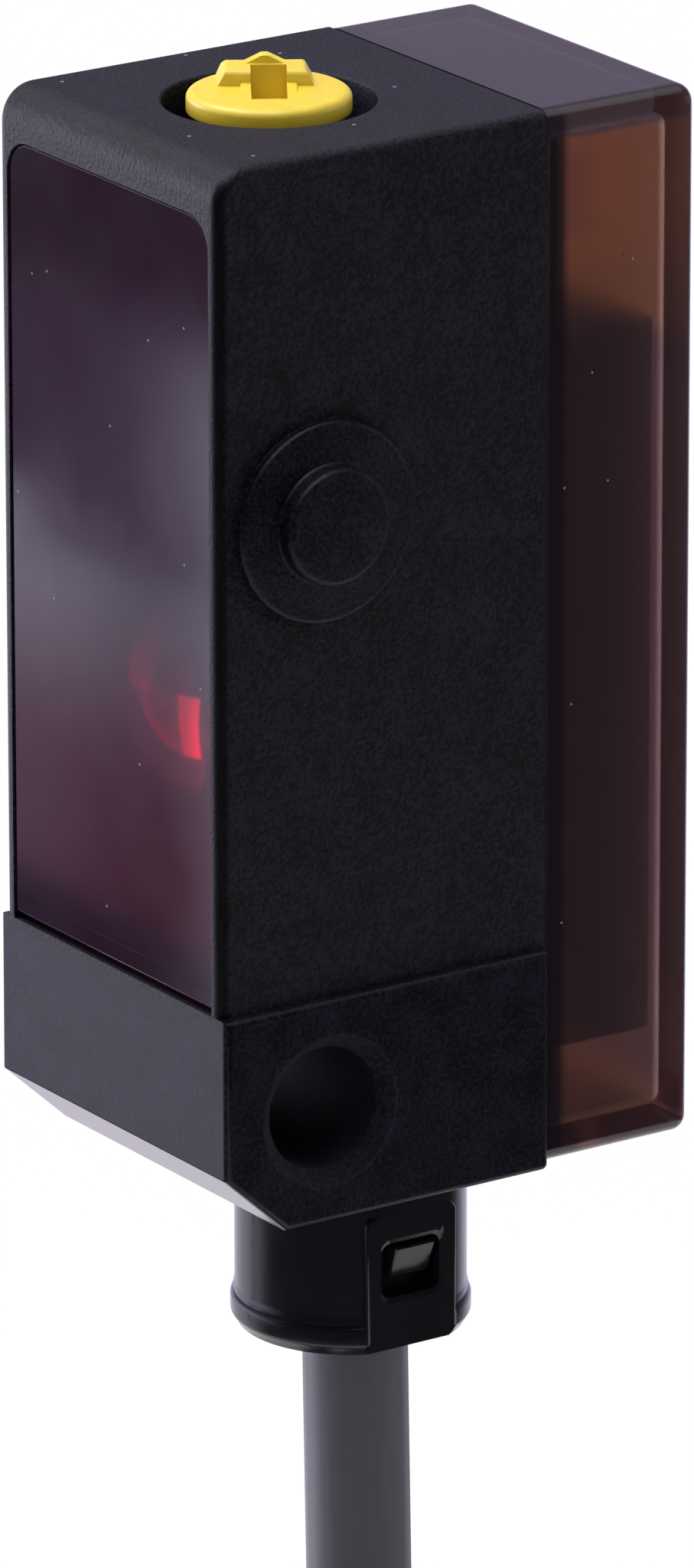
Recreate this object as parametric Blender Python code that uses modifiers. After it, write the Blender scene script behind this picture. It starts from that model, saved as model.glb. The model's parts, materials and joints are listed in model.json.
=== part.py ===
"""Through-beam photoelectric receiver: a small cuboid sensor with a smoked window and a fixed cable.

The shape is laid out from the middle of the front face's foot: X runs across the housing,
Y runs from the window to the rear cover and Z runs up. The empty called sensor_frame then
carries everything to where the side that bears on a bracket lies in the plane X = 0.
"""
import math

import bmesh
import bpy
from mathutils import Matrix, Vector

# Driving sizes of the housing, in metres
BODY_WIDTH = 0.0114
BODY_HEIGHT = 0.0320
BODY_DEPTH = 0.0113
BODY_EDGE = 0.0003
TOP_FRONT_ROUND = 0.00105
FOOT_WIDTH = 0.01205
FOOT_HEIGHT = 0.00678
CHAMFER_HEIGHT = 0.00192
CHAMFER_DEPTH = 0.00209
FOOT_EDGE = 0.0002
CAVITY_WIDTH = 0.0084
CAVITY_FLOOR = 0.0076
TOP_WALL = 0.0021
RIM_WALL = 0.00042
RIM_LENGTH = 0.00085
LEAD_POCKET_FLOOR = 0.0020
LEAD_POCKET_DEPTH = 0.0017

# Fixing features on the sides
FIXING_Y = 0.0036
FIXING_HOLE_Z = 0.00339
FIXING_HOLE_RADIUS = 0.00185
FIXING_CHAMFER = 0.00042
STUD_SHARE = 0.662
PAD_RADIUS = 0.0030
STUD_RADIUS = 0.00174
STUD_HEIGHT = 0.0006
STUD_EDGE = 0.00022
MOUNT_POINT_Y = 0.0082

# Clearances
SEAM = 0.0001
SEAT = 0.0002
RUNNING = 0.00025
TOUCH = 0.0003

# Window
WINDOW_LIP = 0.0002
WINDOW_BROW = 0.0015
WINDOW_THICKNESS = 0.00105
WINDOW_SET_BACK = 0.00006
WINDOW_CORNER = 0.0007

# Rear cover and its seal
COVER_DEPTH = 0.00529
COVER_WALL = 0.00085
COVER_BACK_WALL = 0.0011
COVER_FOOT = 0.00004
COVER_REAR_ROUND = 0.00048
COVER_TOP_CORNER = 0.00055
COVER_FOOT_CORNER = 0.00050
SEAL_GAP = 0.00006

# Adjuster
ADJUSTER_Y = 0.00557
ADJUSTER_REST_ANGLE = math.radians(57.5)
WELL_RADIUS = 0.0031
WELL_DEPTH = 0.0014
WELL_CHAMFER = 0.0001
DISC_RADIUS = 0.00239
DISC_THICKNESS = 0.00065
DISC_PROUD = 0.00027
DISC_EDGE = 0.00024
BAR_LENGTH = 0.0030
BAR_HEIGHT = 0.00045
BAR_EDGE = 0.00018
BAR_NEAR = 0.00035
BAR_FAR = 0.00168
CHEEK_HEIGHT = 0.00022
CHEEK_WALL = 0.00030
SLOT_WIDTH = 0.00104
SLOT_NEAR = 0.00107
SLOT_FAR = 0.00120
SLOT_DEPTH = 0.00035
POINTER_WIDTH = 0.0007
POINTER_HEIGHT = 0.00023
POINTER_LENGTH = 0.00055
POINTER_OFFSET = 0.0001
SHAFT_RADIUS = 0.0010
BLADE_THICKNESS = 0.0005
BLADE_WIDTH = 0.0016
BLADE_LENGTH = 0.0004
ORING_SECTION = 0.00028
ORING_RADIUS = 0.00146

# Potentiometer
POT_SIZE = 0.0060
POT_HEIGHT = 0.0030
POT_EDGE = 0.0002
ROTOR_RADIUS = 0.0015
ROTOR_HEIGHT = 0.0006
PIN_RADIUS = 0.00022
PIN_PITCH = 0.0020

# Optics
LENS_SHARE = 0.45
LENS_RADIUS = 0.0036
LENS_SAG = 0.0012
LENS_RIM = 0.0008
LENS_FRONT = 0.00175
CARRIER_FRONT = 0.00150
CARRIER_SET_BACK = 0.0016
CARRIER_RAISE = 0.0007
CARRIER_BELOW_TOP = 0.0068
LIGHT_SHAFT_FRONT = 0.0031
LIGHT_SHAFT_BACK = 0.0013
APERTURE_SET_BACK = 0.0010
APERTURE_RADIUS = 0.00215
APERTURE_HOLE = 0.0007
APERTURE_THICKNESS = 0.0004
BAFFLE_WIDTH = 0.0062
BAFFLE_WALL = 0.0008
BAFFLE_OVER_LENS = 0.0011
BAFFLE_DEPTH = 0.0050

# Electronics
BOARD_WIDTH = 0.0079
BOARD_THICKNESS = 0.0008
BOARD_STANDOFF = 0.0011
BOARD_FOOT = 0.0039
BOARD_BELOW_TOP = 0.0074
BOARD_NOTCH = 0.0009
TRAY_WIDTH = 0.0096
TRAY_WALL = 0.0006
TRAY_EXTRA = 0.0005
DIODE_SIZE = 0.0028
DIODE_HEIGHT = 0.0010
FILTER_SIZE = 0.0034
FILTER_THICKNESS = 0.0006
CAN_SIZE = 0.0052
CAN_DEPTH = 0.0018
CAN_WALL = 0.0002
CHIP_SIZE = 0.0040
CHIP_HEIGHT = 0.0008
CHIP_RAISE = 0.0070
DRIVER_WIDTH = 0.0030
DRIVER_HEIGHT_Z = 0.0016
DRIVER_RAISE = 0.0030
CAPACITOR_LENGTH = 0.0016
CAPACITOR_WIDTH = 0.0008
RESISTOR_LENGTH = 0.0010
RESISTOR_WIDTH = 0.0005
SMALL_CHIP_HEIGHT = 0.0005
LED_WIDTH = 0.0012
LED_HEIGHT = 0.0011
LED_OFFSET = 0.0010
GUIDE_WIDTH = 0.0038
GUIDE_DEPTH = 0.0013

# Gland, clamp and cable
GLAND_SET_BACK = 0.00296
GLAND_RADIUS = 0.00344
GLAND_LENGTH = 0.00578
FLANGE_RADIUS = 0.00370
FLANGE_HEIGHT = 0.00112
SPIGOT_RADIUS = 0.0021
SPIGOT_LENGTH = 0.0044
GLAND_BORE = 0.00275
GLAND_SHOULDER = 0.0004
PAD_FACE = 0.00325
PAD_WIDTH = 0.00318
PAD_TOP = 0.0015
PAD_FOOT = 0.00545
PAD_CORNER = 0.0003
LATCH_WINDOW_WIDTH = 0.00205
LATCH_WINDOW_HEIGHT = 0.0017
LATCH_WINDOW_Z = 0.00327
LATCH_WINDOW_CORNER = 0.0003
LATCH_GAP = 0.0002
LATCH_SET_BACK = 0.00015
LATCH_RAMP = 0.0004
LATCH_UNDER = 0.00045
CLAMP_TOP = 0.0016
SEAL_RING_TOP = 0.0005
SEAL_RING_HEIGHT = 0.0009
CABLE_RADIUS = 0.001575
CABLE_BORE = 0.00170
CLAMP_BORE = 0.00180
CABLE_LEAN = 0.0175
SHEATH_ABOVE_SPIGOT = 0.0006
LEAD_RADIUS = 0.00038

# Spare cable, folded into an upright hank under the sensor
HANK_TOP = -0.0180
HANK_RUN = 0.0466
HANK_RADIUS = 0.0206
HANK_THICKNESS = 0.0128
HANK_X = 0.001575
TIE_WIDTH = 0.0036
TIE_THICKNESS = 0.0009
TAIL_X = 0.0063
TAIL_FOOT = -0.1210
CORE_RADIUS = 0.0005
CORE_LENGTH = 0.0200
CORE_PITCH = 0.00058
CORE_SPREAD = 0.0026
TIP_RADIUS = 0.0003
TIP_LENGTH = 0.0050

# Worked out from the sizes above
HALF_FOOT = FOOT_WIDTH / 2
HALF_BODY = BODY_WIDTH / 2
CAVITY_TOP = BODY_HEIGHT - TOP_WALL
WINDOW_TOP = BODY_HEIGHT - WINDOW_BROW
STUD_Z = BODY_HEIGHT * STUD_SHARE
COVER_FRONT = BODY_DEPTH + SEAM
SENSOR_DEPTH = BODY_DEPTH + COVER_DEPTH
COVER_INNER_HALF = HALF_BODY - COVER_WALL
COVER_INNER_TOP = BODY_HEIGHT - COVER_WALL
COVER_INNER_FOOT = COVER_FOOT + COVER_WALL
RIM_OUTER_HALF = CAVITY_WIDTH / 2 + RIM_WALL
RIM_INSET = COVER_INNER_HALF - RIM_OUTER_HALF
WELL_FLOOR = BODY_HEIGHT - WELL_DEPTH
DISC_TOP = BODY_HEIGHT + DISC_PROUD
DISC_FOOT = DISC_TOP - DISC_THICKNESS
POT_TOP = CAVITY_TOP - RUNNING - ROTOR_HEIGHT - SEAM
LENS_Z = BODY_HEIGHT * LENS_SHARE
CARRIER_BACK = BODY_DEPTH - CARRIER_SET_BACK
CARRIER_FLOOR = CAVITY_FLOOR + CARRIER_RAISE
CARRIER_TOP = BODY_HEIGHT - CARRIER_BELOW_TOP
LIGHT_SHAFT_END = CARRIER_BACK - APERTURE_SET_BACK
BAFFLE_FLOOR = LENS_Z + LENS_RADIUS + BAFFLE_OVER_LENS
BAFFLE_TOP = CARRIER_TOP - BAFFLE_WALL
BOARD_FRONT = BODY_DEPTH + BOARD_STANDOFF
BOARD_BACK = BOARD_FRONT + BOARD_THICKNESS
BOARD_TOP = BODY_HEIGHT - BOARD_BELOW_TOP
TRAY_FOOT = BOARD_FOOT - TRAY_EXTRA
TRAY_TOP = BOARD_TOP + TRAY_EXTRA
CHIP_Z = BOARD_FOOT + CHIP_RAISE
DRIVER_Z = BOARD_FOOT + DRIVER_RAISE
GLAND_Y = BODY_DEPTH - GLAND_SET_BACK
TRAY_BACK = SENSOR_DEPTH - COVER_BACK_WALL - SEAM
HANK_FOOT = HANK_TOP - HANK_RUN - 2 * HANK_RADIUS
ROUND_STEPS = 32

COLOURS = {
    "textured_black": ((0.022, 0.022, 0.030), 0.62, 0.0),
    "gloss_black": ((0.014, 0.013, 0.017), 0.18, 0.0),
    "smoked_red": ((0.060, 0.012, 0.020), 0.08, 0.0),
    "smoked_brown": ((0.085, 0.050, 0.060), 0.12, 0.0),
    "clear": ((0.80, 0.82, 0.84), 0.04, 0.0),
    "red_glass": ((0.45, 0.01, 0.02), 0.06, 0.0),
    "matt_black": ((0.018, 0.018, 0.020), 0.75, 0.0),
    "board_green": ((0.020, 0.110, 0.055), 0.45, 0.0),
    "tin": ((0.72, 0.72, 0.70), 0.28, 1.0),
    "chip_black": ((0.030, 0.030, 0.032), 0.50, 0.0),
    "ceramic": ((0.46, 0.36, 0.26), 0.50, 0.0),
    "led_yellow": ((0.90, 0.62, 0.10), 0.20, 0.0),
    "led_green": ((0.30, 0.75, 0.25), 0.20, 0.0),
    "pot_blue": ((0.05, 0.16, 0.42), 0.42, 0.0),
    "signal_yellow": ((0.74, 0.49, 0.03), 0.38, 0.0),
    "rubber": ((0.020, 0.020, 0.022), 0.85, 0.0),
    "cable_grey": ((0.130, 0.130, 0.140), 0.55, 0.0),
    "core_brown": ((0.16, 0.07, 0.03), 0.45, 0.0),
    "core_white": ((0.75, 0.74, 0.70), 0.45, 0.0),
    "core_blue": ((0.04, 0.13, 0.42), 0.45, 0.0),
    "core_black": ((0.02, 0.02, 0.02), 0.45, 0.0),
}


def clear_scene():
    """Removes whatever a new scene holds."""
    for old in list(bpy.data.objects):
        bpy.data.objects.remove(old, do_unlink=True)


def collection(name):
    """A collection linked to the scene."""
    made = bpy.data.collections.new(name)
    bpy.context.scene.collection.children.link(made)
    return made


def empty(name, place, parent=None, turn=0.0):
    """A plain axis that carries pieces."""
    made = bpy.data.objects.new(name, None)
    made.empty_display_size = 0.002
    made.location = place
    made.rotation_euler = (0.0, 0.0, turn)
    made.parent = parent
    PARTS.objects.link(made)
    return made


def material(name, finish):
    """A Principled material with one finish from the table of colours."""
    colour, roughness, metallic = COLOURS[finish]
    made = bpy.data.materials.new(name)
    made.use_nodes = True
    shader = made.node_tree.nodes["Principled BSDF"]
    shader.inputs["Base Color"].default_value = (*colour, 1.0)
    shader.inputs["Roughness"].default_value = roughness
    shader.inputs["Metallic"].default_value = metallic
    made.diffuse_color = (*colour, 1.0)
    return made


def piece(name, bm, finish, parent=None):
    """Makes a visible part from a bmesh, or a cutter when no finish is given."""
    mesh = bpy.data.meshes.new(name)
    bm.to_mesh(mesh)
    bm.free()
    made = bpy.data.objects.new(name, mesh)
    made.parent = parent or FRAME
    if finish is None:
        hide_as_guide(made)
        return made
    PARTS.objects.link(made)
    mesh.materials.append(material(name, finish))
    mesh.shade_smooth()
    mesh.set_sharp_from_angle(angle=math.radians(32))
    return made


def hide_as_guide(made):
    """Keeps a cutter or a part of a union out of the model."""
    CUTTERS.objects.link(made)
    made.hide_render = True
    made.display_type = 'WIRE'


def block(x, y, z):
    """A box between three pairs of limits, as a bmesh."""
    bm = bmesh.new()
    bmesh.ops.create_cube(bm, size=1.0)
    size = Vector((x[1] - x[0], y[1] - y[0], z[1] - z[0]))
    middle = Vector((x[0] + x[1], y[0] + y[1], z[0] + z[1])) / 2
    bmesh.ops.scale(bm, vec=size, verts=bm.verts)
    bmesh.ops.translate(bm, vec=middle, verts=bm.verts)
    return bm


def on_plane(edge, axis, value):
    """Whether both ends of an edge lie at one coordinate."""
    return all(abs(vert.co[axis] - value) < 1e-6 for vert in edge.verts)


def on_side(edge, half):
    """Whether an edge lies in one of the two side planes."""
    return on_plane(edge, 0, half) or on_plane(edge, 0, -half)


def round_edges(bm, picked, radius, segments):
    """Rounds or chamfers the edges that the test picks."""
    edges = [edge for edge in bm.edges if picked(edge)]
    bmesh.ops.bevel(bm, geom=edges, offset=radius, segments=segments, profile=0.5,
                    affect='EDGES', clamp_overlap=True, material=-1)


def sharp_corners(bm, limit=0.6):
    """The edges whose two faces meet at more than a set angle, in radians."""
    bm.normal_update()
    return {edge for edge in bm.edges if len(edge.link_faces) == 2 and edge.calc_face_angle() > limit}


def boolean(made, other, operation):
    """Adds an exact Boolean to a part."""
    modifier = made.modifiers.new(operation.lower(), 'BOOLEAN')
    modifier.operation = operation
    modifier.solver = 'EXACT'
    modifier.object = other


def cut(made, name, bm):
    """Cuts a bmesh away from a part."""
    boolean(made, piece(name, bm, None), 'DIFFERENCE')


def add(made, name, bm):
    """Joins a bmesh to a part."""
    boolean(made, piece(name, bm, None), 'UNION')


def arc(centre, radius, start, end, segments):
    """Points along an arc in the profile plane, with angles in degrees."""
    points = []
    for step in range(segments + 1):
        angle = math.radians(start + (end - start) * step / segments)
        points.append((centre[0] + radius * math.cos(angle), centre[1] + radius * math.sin(angle)))
    return points


def turned(name, profile, finish, place, axis='Z', closed=False, steps=ROUND_STEPS, parent=None):
    """Spins a profile of radius and height pairs, which runs down the outer side."""
    bm = bmesh.new()
    verts = [bm.verts.new((radius, 0.0, height)) for radius, height in profile]
    for first, second in zip(verts, verts[1:]):
        bm.edges.new((first, second))
    if closed:
        bm.edges.new((verts[-1], verts[0]))
    made = piece(name, bm, finish, parent)
    made.location = place
    if axis == 'X':
        made.rotation_euler = (0.0, math.pi / 2, 0.0)
    if axis == 'Y':
        made.rotation_euler = (-math.pi / 2, 0.0, 0.0)
    screw = made.modifiers.new("turn", 'SCREW')
    screw.axis = 'Z'
    screw.angle = 2 * math.pi
    screw.steps = steps
    screw.render_steps = steps
    screw.use_merge_vertices = True
    screw.merge_threshold = 1e-6
    screw.use_smooth_shade = False
    return made


def tube(name, points, radius, finish, resolution=2):
    """A round rod along a list of points."""
    curve = bpy.data.curves.new(name, 'CURVE')
    curve.dimensions = '3D'
    curve.bevel_depth = radius
    curve.bevel_resolution = resolution
    curve.use_fill_caps = True
    spline = curve.splines.new('POLY')
    spline.points.add(len(points) - 1)
    for target, point in zip(spline.points, points):
        target.co = (*point, 1.0)
    made = bpy.data.objects.new(name, curve)
    made.parent = FRAME
    curve.materials.append(material(name, finish))
    PARTS.objects.link(made)
    return made


def smooth_path(points, pieces):
    """Points read from a smooth curve through the given ones."""
    out = []
    padded = [points[0]] + list(points) + [points[-1]]
    for index in range(1, len(padded) - 2):
        p0, p1, p2, p3 = (Vector(padded[index + shift]) for shift in (-1, 0, 1, 2))
        for step in range(pieces):
            t = step / pieces
            out.append(0.5 * (2 * p1 + (p2 - p0) * t + (2 * p0 - 5 * p1 + 4 * p2 - p3) * t ** 2
                              + (3 * p1 - p0 - 3 * p2 + p3) * t ** 3))
    out.append(Vector(points[-1]))
    return out


def housing():
    """The moulded housing: slim upper body, wider foot, side pads with studs, and a rear rim."""
    upper = block((-HALF_BODY, HALF_BODY), (0.0, BODY_DEPTH), (FOOT_HEIGHT - CHAMFER_HEIGHT / 2, BODY_HEIGHT))
    round_edges(upper, lambda e: on_plane(e, 1, 0.0) and on_plane(e, 2, BODY_HEIGHT), TOP_FRONT_ROUND, 5)
    round_edges(upper, lambda e: on_side(e, HALF_BODY) and not on_plane(e, 1, BODY_DEPTH)
                and not on_plane(e, 2, FOOT_HEIGHT - CHAMFER_HEIGHT / 2), BODY_EDGE, 2)
    made = piece("housing", upper, "textured_black")

    foot = block((-HALF_FOOT, HALF_FOOT), (0.0, BODY_DEPTH), (0.0, FOOT_HEIGHT))
    round_edges(foot, lambda e: on_plane(e, 1, 0.0) and on_plane(e, 2, 0.0), CHAMFER_DEPTH, 1)
    for vert in foot.verts:
        if abs(vert.co.y) < SEAM and abs(vert.co.z - CHAMFER_DEPTH) < SEAM:
            vert.co.z = CHAMFER_HEIGHT
    round_edges(foot, lambda e: on_side(e, HALF_FOOT) or on_plane(e, 1, BODY_DEPTH) and on_plane(e, 2, 0.0),
                FOOT_EDGE, 2)
    add(made, "foot_block", foot)

    rim = block((-RIM_OUTER_HALF, RIM_OUTER_HALF), (BODY_DEPTH - RIM_LENGTH, BODY_DEPTH + RIM_LENGTH),
                (COVER_INNER_FOOT + RIM_INSET, COVER_INNER_TOP - RIM_INSET))
    add(made, "rear_rim", rim)

    for side in (-1, 1):
        pad_height = HALF_FOOT - HALF_BODY
        top = pad_height + STUD_HEIGHT
        profile = [(0.0, top)]
        profile += arc((STUD_RADIUS - STUD_EDGE, top - STUD_EDGE), STUD_EDGE, 90, 0, 3)
        profile += [(STUD_RADIUS, pad_height)]
        profile += arc((PAD_RADIUS - pad_height / 2, pad_height / 2), pad_height / 2, 90, 0, 2)
        profile += [(PAD_RADIUS, -pad_height), (0.0, -pad_height)]
        stud = turned("side_stud", profile, None, (side * HALF_BODY, FIXING_Y, STUD_Z), 'X')
        stud.rotation_euler = (0.0, side * math.pi / 2, 0.0)
        boolean(made, stud, 'UNION')

    recess = block((-HALF_BODY + WINDOW_LIP, HALF_BODY - WINDOW_LIP),
                   (-WINDOW_THICKNESS, WINDOW_THICKNESS + SEAT), (FOOT_HEIGHT, WINDOW_TOP))
    round_edges(recess, lambda e: on_plane(e, 2, WINDOW_TOP) and not on_plane(e, 1, -WINDOW_THICKNESS)
                and not on_plane(e, 1, WINDOW_THICKNESS + SEAT), WINDOW_CORNER, 4)
    cut(made, "window_recess", recess)
    cavity = block((-CAVITY_WIDTH / 2, CAVITY_WIDTH / 2), (WINDOW_THICKNESS / 2, BODY_DEPTH + 2 * RIM_LENGTH),
                   (CAVITY_FLOOR, CAVITY_TOP))
    cut(made, "cavity", cavity)
    pocket = block((-CAVITY_WIDTH / 2, CAVITY_WIDTH / 2),
                   (BODY_DEPTH - LEAD_POCKET_DEPTH, BODY_DEPTH + 2 * RIM_LENGTH),
                   (LEAD_POCKET_FLOOR, CAVITY_FLOOR + TOUCH))
    cut(made, "lead_pocket", pocket)

    over = BODY_HEIGHT + WELL_DEPTH
    well = turned("adjuster_well", [
        (0.0, over), (WELL_RADIUS + WELL_CHAMFER, over), (WELL_RADIUS + WELL_CHAMFER, BODY_HEIGHT),
        (WELL_RADIUS, BODY_HEIGHT - WELL_CHAMFER), (WELL_RADIUS, WELL_FLOOR),
        (SHAFT_RADIUS + RUNNING, WELL_FLOOR), (SHAFT_RADIUS + RUNNING, CAVITY_TOP - TOUCH),
        (0.0, CAVITY_TOP - TOUCH)], None, (0.0, ADJUSTER_Y, 0.0))
    boolean(made, well, 'DIFFERENCE')

    outside = HALF_FOOT + FIXING_CHAMFER
    mouth = FIXING_HOLE_RADIUS + 2 * FIXING_CHAMFER
    throat = HALF_FOOT - FIXING_CHAMFER
    hole = turned("fixing_hole", [
        (0.0, outside), (mouth, outside), (FIXING_HOLE_RADIUS, throat),
        (FIXING_HOLE_RADIUS, -throat), (mouth, -outside), (0.0, -outside)],
        None, (0.0, FIXING_Y, FIXING_HOLE_Z), 'X')
    boolean(made, hole, 'DIFFERENCE')

    bore = turned("gland_bore", [
        (0.0, CAVITY_FLOOR + TOUCH), (SPIGOT_RADIUS + SEAT, CAVITY_FLOOR + TOUCH),
        (SPIGOT_RADIUS + SEAT, -TOUCH), (0.0, -TOUCH)], None, (0.0, GLAND_Y, 0.0))
    boolean(made, bore, 'DIFFERENCE')


def front_window():
    """The smoked pane that fills the housing's front."""
    half = HALF_BODY - WINDOW_LIP - SEAM
    top = WINDOW_TOP - SEAM
    pane = block((-half, half), (WINDOW_SET_BACK, WINDOW_THICKNESS), (FOOT_HEIGHT + SEAT, top))
    round_edges(pane, lambda e: on_plane(e, 2, top) and not on_plane(e, 1, WINDOW_SET_BACK)
                and not on_plane(e, 1, WINDOW_THICKNESS), WINDOW_CORNER - SEAM, 4)
    round_edges(pane, lambda e: on_plane(e, 1, WINDOW_SET_BACK), SEAM, 1)
    piece("front_window", pane, "smoked_red")


def optics():
    """Carrier, lens, aperture plate, red filter, photodiode and its screening can."""
    half = CAVITY_WIDTH / 2 - SEAT
    back = CARRIER_BACK
    body = block((-half, half), (CARRIER_FRONT, back), (CARRIER_FLOOR, CARRIER_TOP))
    carrier = piece("optics_carrier", body, "matt_black")
    lens_back = LENS_FRONT + LENS_SAG + LENS_RIM
    seat_back = lens_back + SEAT
    shaft = turned("light_shaft", [
        (0.0, back + TOUCH), (APERTURE_RADIUS + SEAT, back + TOUCH), (APERTURE_RADIUS + SEAT, LIGHT_SHAFT_END),
        (LIGHT_SHAFT_BACK, LIGHT_SHAFT_END), (LIGHT_SHAFT_FRONT, seat_back), (LENS_RADIUS + SEAM, seat_back),
        (LENS_RADIUS + SEAM, 0.0), (0.0, 0.0)], None, (0.0, 0.0, LENS_Z), 'Y')
    boolean(carrier, shaft, 'DIFFERENCE')
    chamber = block((-BAFFLE_WIDTH / 2, BAFFLE_WIDTH / 2), (0.0, CARRIER_FRONT + BAFFLE_DEPTH),
                    (BAFFLE_FLOOR, BAFFLE_TOP))
    cut(carrier, "upper_chamber", chamber)

    curve = (LENS_RADIUS ** 2 + LENS_SAG ** 2) / (2 * LENS_SAG)
    spread = math.degrees(math.asin(LENS_RADIUS / curve))
    convex = arc((0.0, LENS_FRONT + curve), curve, spread - 90, -90, 6)
    rim = [(0.0, lens_back), (LENS_RADIUS, lens_back)]
    turned("receiver_lens", rim + convex[:-1] + [(0.0, LENS_FRONT)], "clear", (0.0, 0.0, LENS_Z), 'Y')

    front = LIGHT_SHAFT_END + SEAT
    turned("aperture_plate", [
        (APERTURE_RADIUS, front + APERTURE_THICKNESS), (APERTURE_RADIUS, front),
        (APERTURE_HOLE, front), (APERTURE_HOLE, front + APERTURE_THICKNESS)],
        "matt_black", (0.0, 0.0, LENS_Z), 'Y', closed=True)

    half_can = CAN_SIZE / 2
    can_back = BOARD_FRONT - SEAM
    can = block((-half_can, half_can), (can_back - CAN_DEPTH, can_back), (LENS_Z - half_can, LENS_Z + half_can))
    screen = piece("shield_can", can, "tin")
    inner = half_can - CAN_WALL
    hollow = block((-inner, inner), (can_back - CAN_DEPTH + CAN_WALL, can_back + TOUCH),
                   (LENS_Z - inner, LENS_Z + inner))
    cut(screen, "can_hollow", hollow)
    opening = FILTER_SIZE / 2 + SEAM
    cut(screen, "can_opening", block((-opening, opening), (can_back - CAN_DEPTH - TOUCH, can_back),
                                     (LENS_Z - opening, LENS_Z + opening)))
    half_filter = FILTER_SIZE / 2
    filter_front = can_back - CAN_DEPTH
    pane = block((-half_filter, half_filter), (filter_front, filter_front + FILTER_THICKNESS),
                 (LENS_Z - half_filter, LENS_Z + half_filter))
    piece("daylight_filter", pane, "red_glass")
    half_diode = DIODE_SIZE / 2
    chip = block((-half_diode, half_diode), (can_back - DIODE_HEIGHT, can_back),
                 (LENS_Z - half_diode, LENS_Z + half_diode))
    piece("photodiode", chip, "chip_black")


def board_and_tray():
    """The circuit board in its black tray, with the parts it carries."""
    half = BOARD_WIDTH / 2
    board = block((-half, half), (BOARD_FRONT, BOARD_BACK), (BOARD_FOOT, BOARD_TOP))
    made = piece("circuit_board", board, "board_green")
    for side in (-1, 1):
        notch = block(sorted((side * (half - BOARD_NOTCH), side * (half + TOUCH))),
                      (BOARD_FRONT - TOUCH, BOARD_BACK + TOUCH), (BOARD_FOOT - TOUCH, BOARD_FOOT + BOARD_NOTCH))
        cut(made, "board_notch", notch)

    tray = block((-TRAY_WIDTH / 2, TRAY_WIDTH / 2), (BOARD_FRONT - SEAT, TRAY_BACK), (TRAY_FOOT, TRAY_TOP))
    made = piece("board_tray", tray, "matt_black")
    bay = half + SEAT
    cut(made, "board_bay", block((-bay, bay), (BOARD_FRONT - 2 * SEAT, BOARD_BACK + SEAT),
                                 (BOARD_FOOT - SEAT, TRAY_TOP + TOUCH)))
    inner = half - TRAY_WALL
    cut(made, "component_bay", block((-inner, inner), (BOARD_FRONT, TRAY_BACK - TRAY_WALL),
                                     (BOARD_FOOT + TRAY_WALL, BOARD_TOP - TRAY_WALL)))

    face = BOARD_BACK + SEAM
    half_chip = CHIP_SIZE / 2
    piece("signal_chip", block((-half_chip, half_chip), (face, face + CHIP_HEIGHT),
                               (CHIP_Z, CHIP_Z + CHIP_SIZE)), "chip_black")
    piece("output_driver", block((-DRIVER_WIDTH / 2, DRIVER_WIDTH / 2), (face, face + CHIP_HEIGHT),
                                 (DRIVER_Z, DRIVER_Z + DRIVER_HEIGHT_Z)), "chip_black")
    for side, place in ((-1, "left"), (1, "right")):
        small_chip("capacitor_" + place, side * CAPACITOR_LENGTH, CAPACITOR_LENGTH, CAPACITOR_WIDTH,
                   CHIP_Z + CHIP_SIZE + CAPACITOR_WIDTH)
        small_chip("resistor_" + place, side * RESISTOR_LENGTH, RESISTOR_LENGTH, RESISTOR_WIDTH,
                   DRIVER_Z + DRIVER_HEIGHT_Z + RESISTOR_WIDTH)

    for side, name, finish in ((-1, "switching_led", "led_yellow"), (1, "power_led", "led_green")):
        x = side * LED_OFFSET
        lamp = block((x - LED_WIDTH / 2, x + LED_WIDTH / 2), (BOARD_FRONT, BOARD_BACK),
                     (BOARD_TOP + SEAM, BOARD_TOP + SEAM + LED_HEIGHT))
        corners = sharp_corners(lamp)
        top = BOARD_TOP + SEAM + LED_HEIGHT
        round_edges(lamp, lambda e: e in corners and on_plane(e, 2, top), SEAT, 2)
        piece(name, lamp, finish)
    foot = BOARD_TOP + SEAM + LED_HEIGHT + SEAT
    guide = block((-GUIDE_WIDTH / 2, GUIDE_WIDTH / 2), (BOARD_FRONT, BOARD_FRONT + GUIDE_DEPTH),
                  (foot, COVER_INNER_TOP - SEAT))
    round_edges(guide, lambda e: e in sharp_corners(guide), SEAT, 1)
    piece("light_guide", guide, "clear")


def small_chip(name, x, length, width, foot):
    """A chip component soldered to the board's rear."""
    face = BOARD_BACK + SEAM
    piece(name, block((x - length / 2, x + length / 2), (face, face + SMALL_CHIP_HEIGHT), (foot, foot + width)),
          "ceramic")


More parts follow.
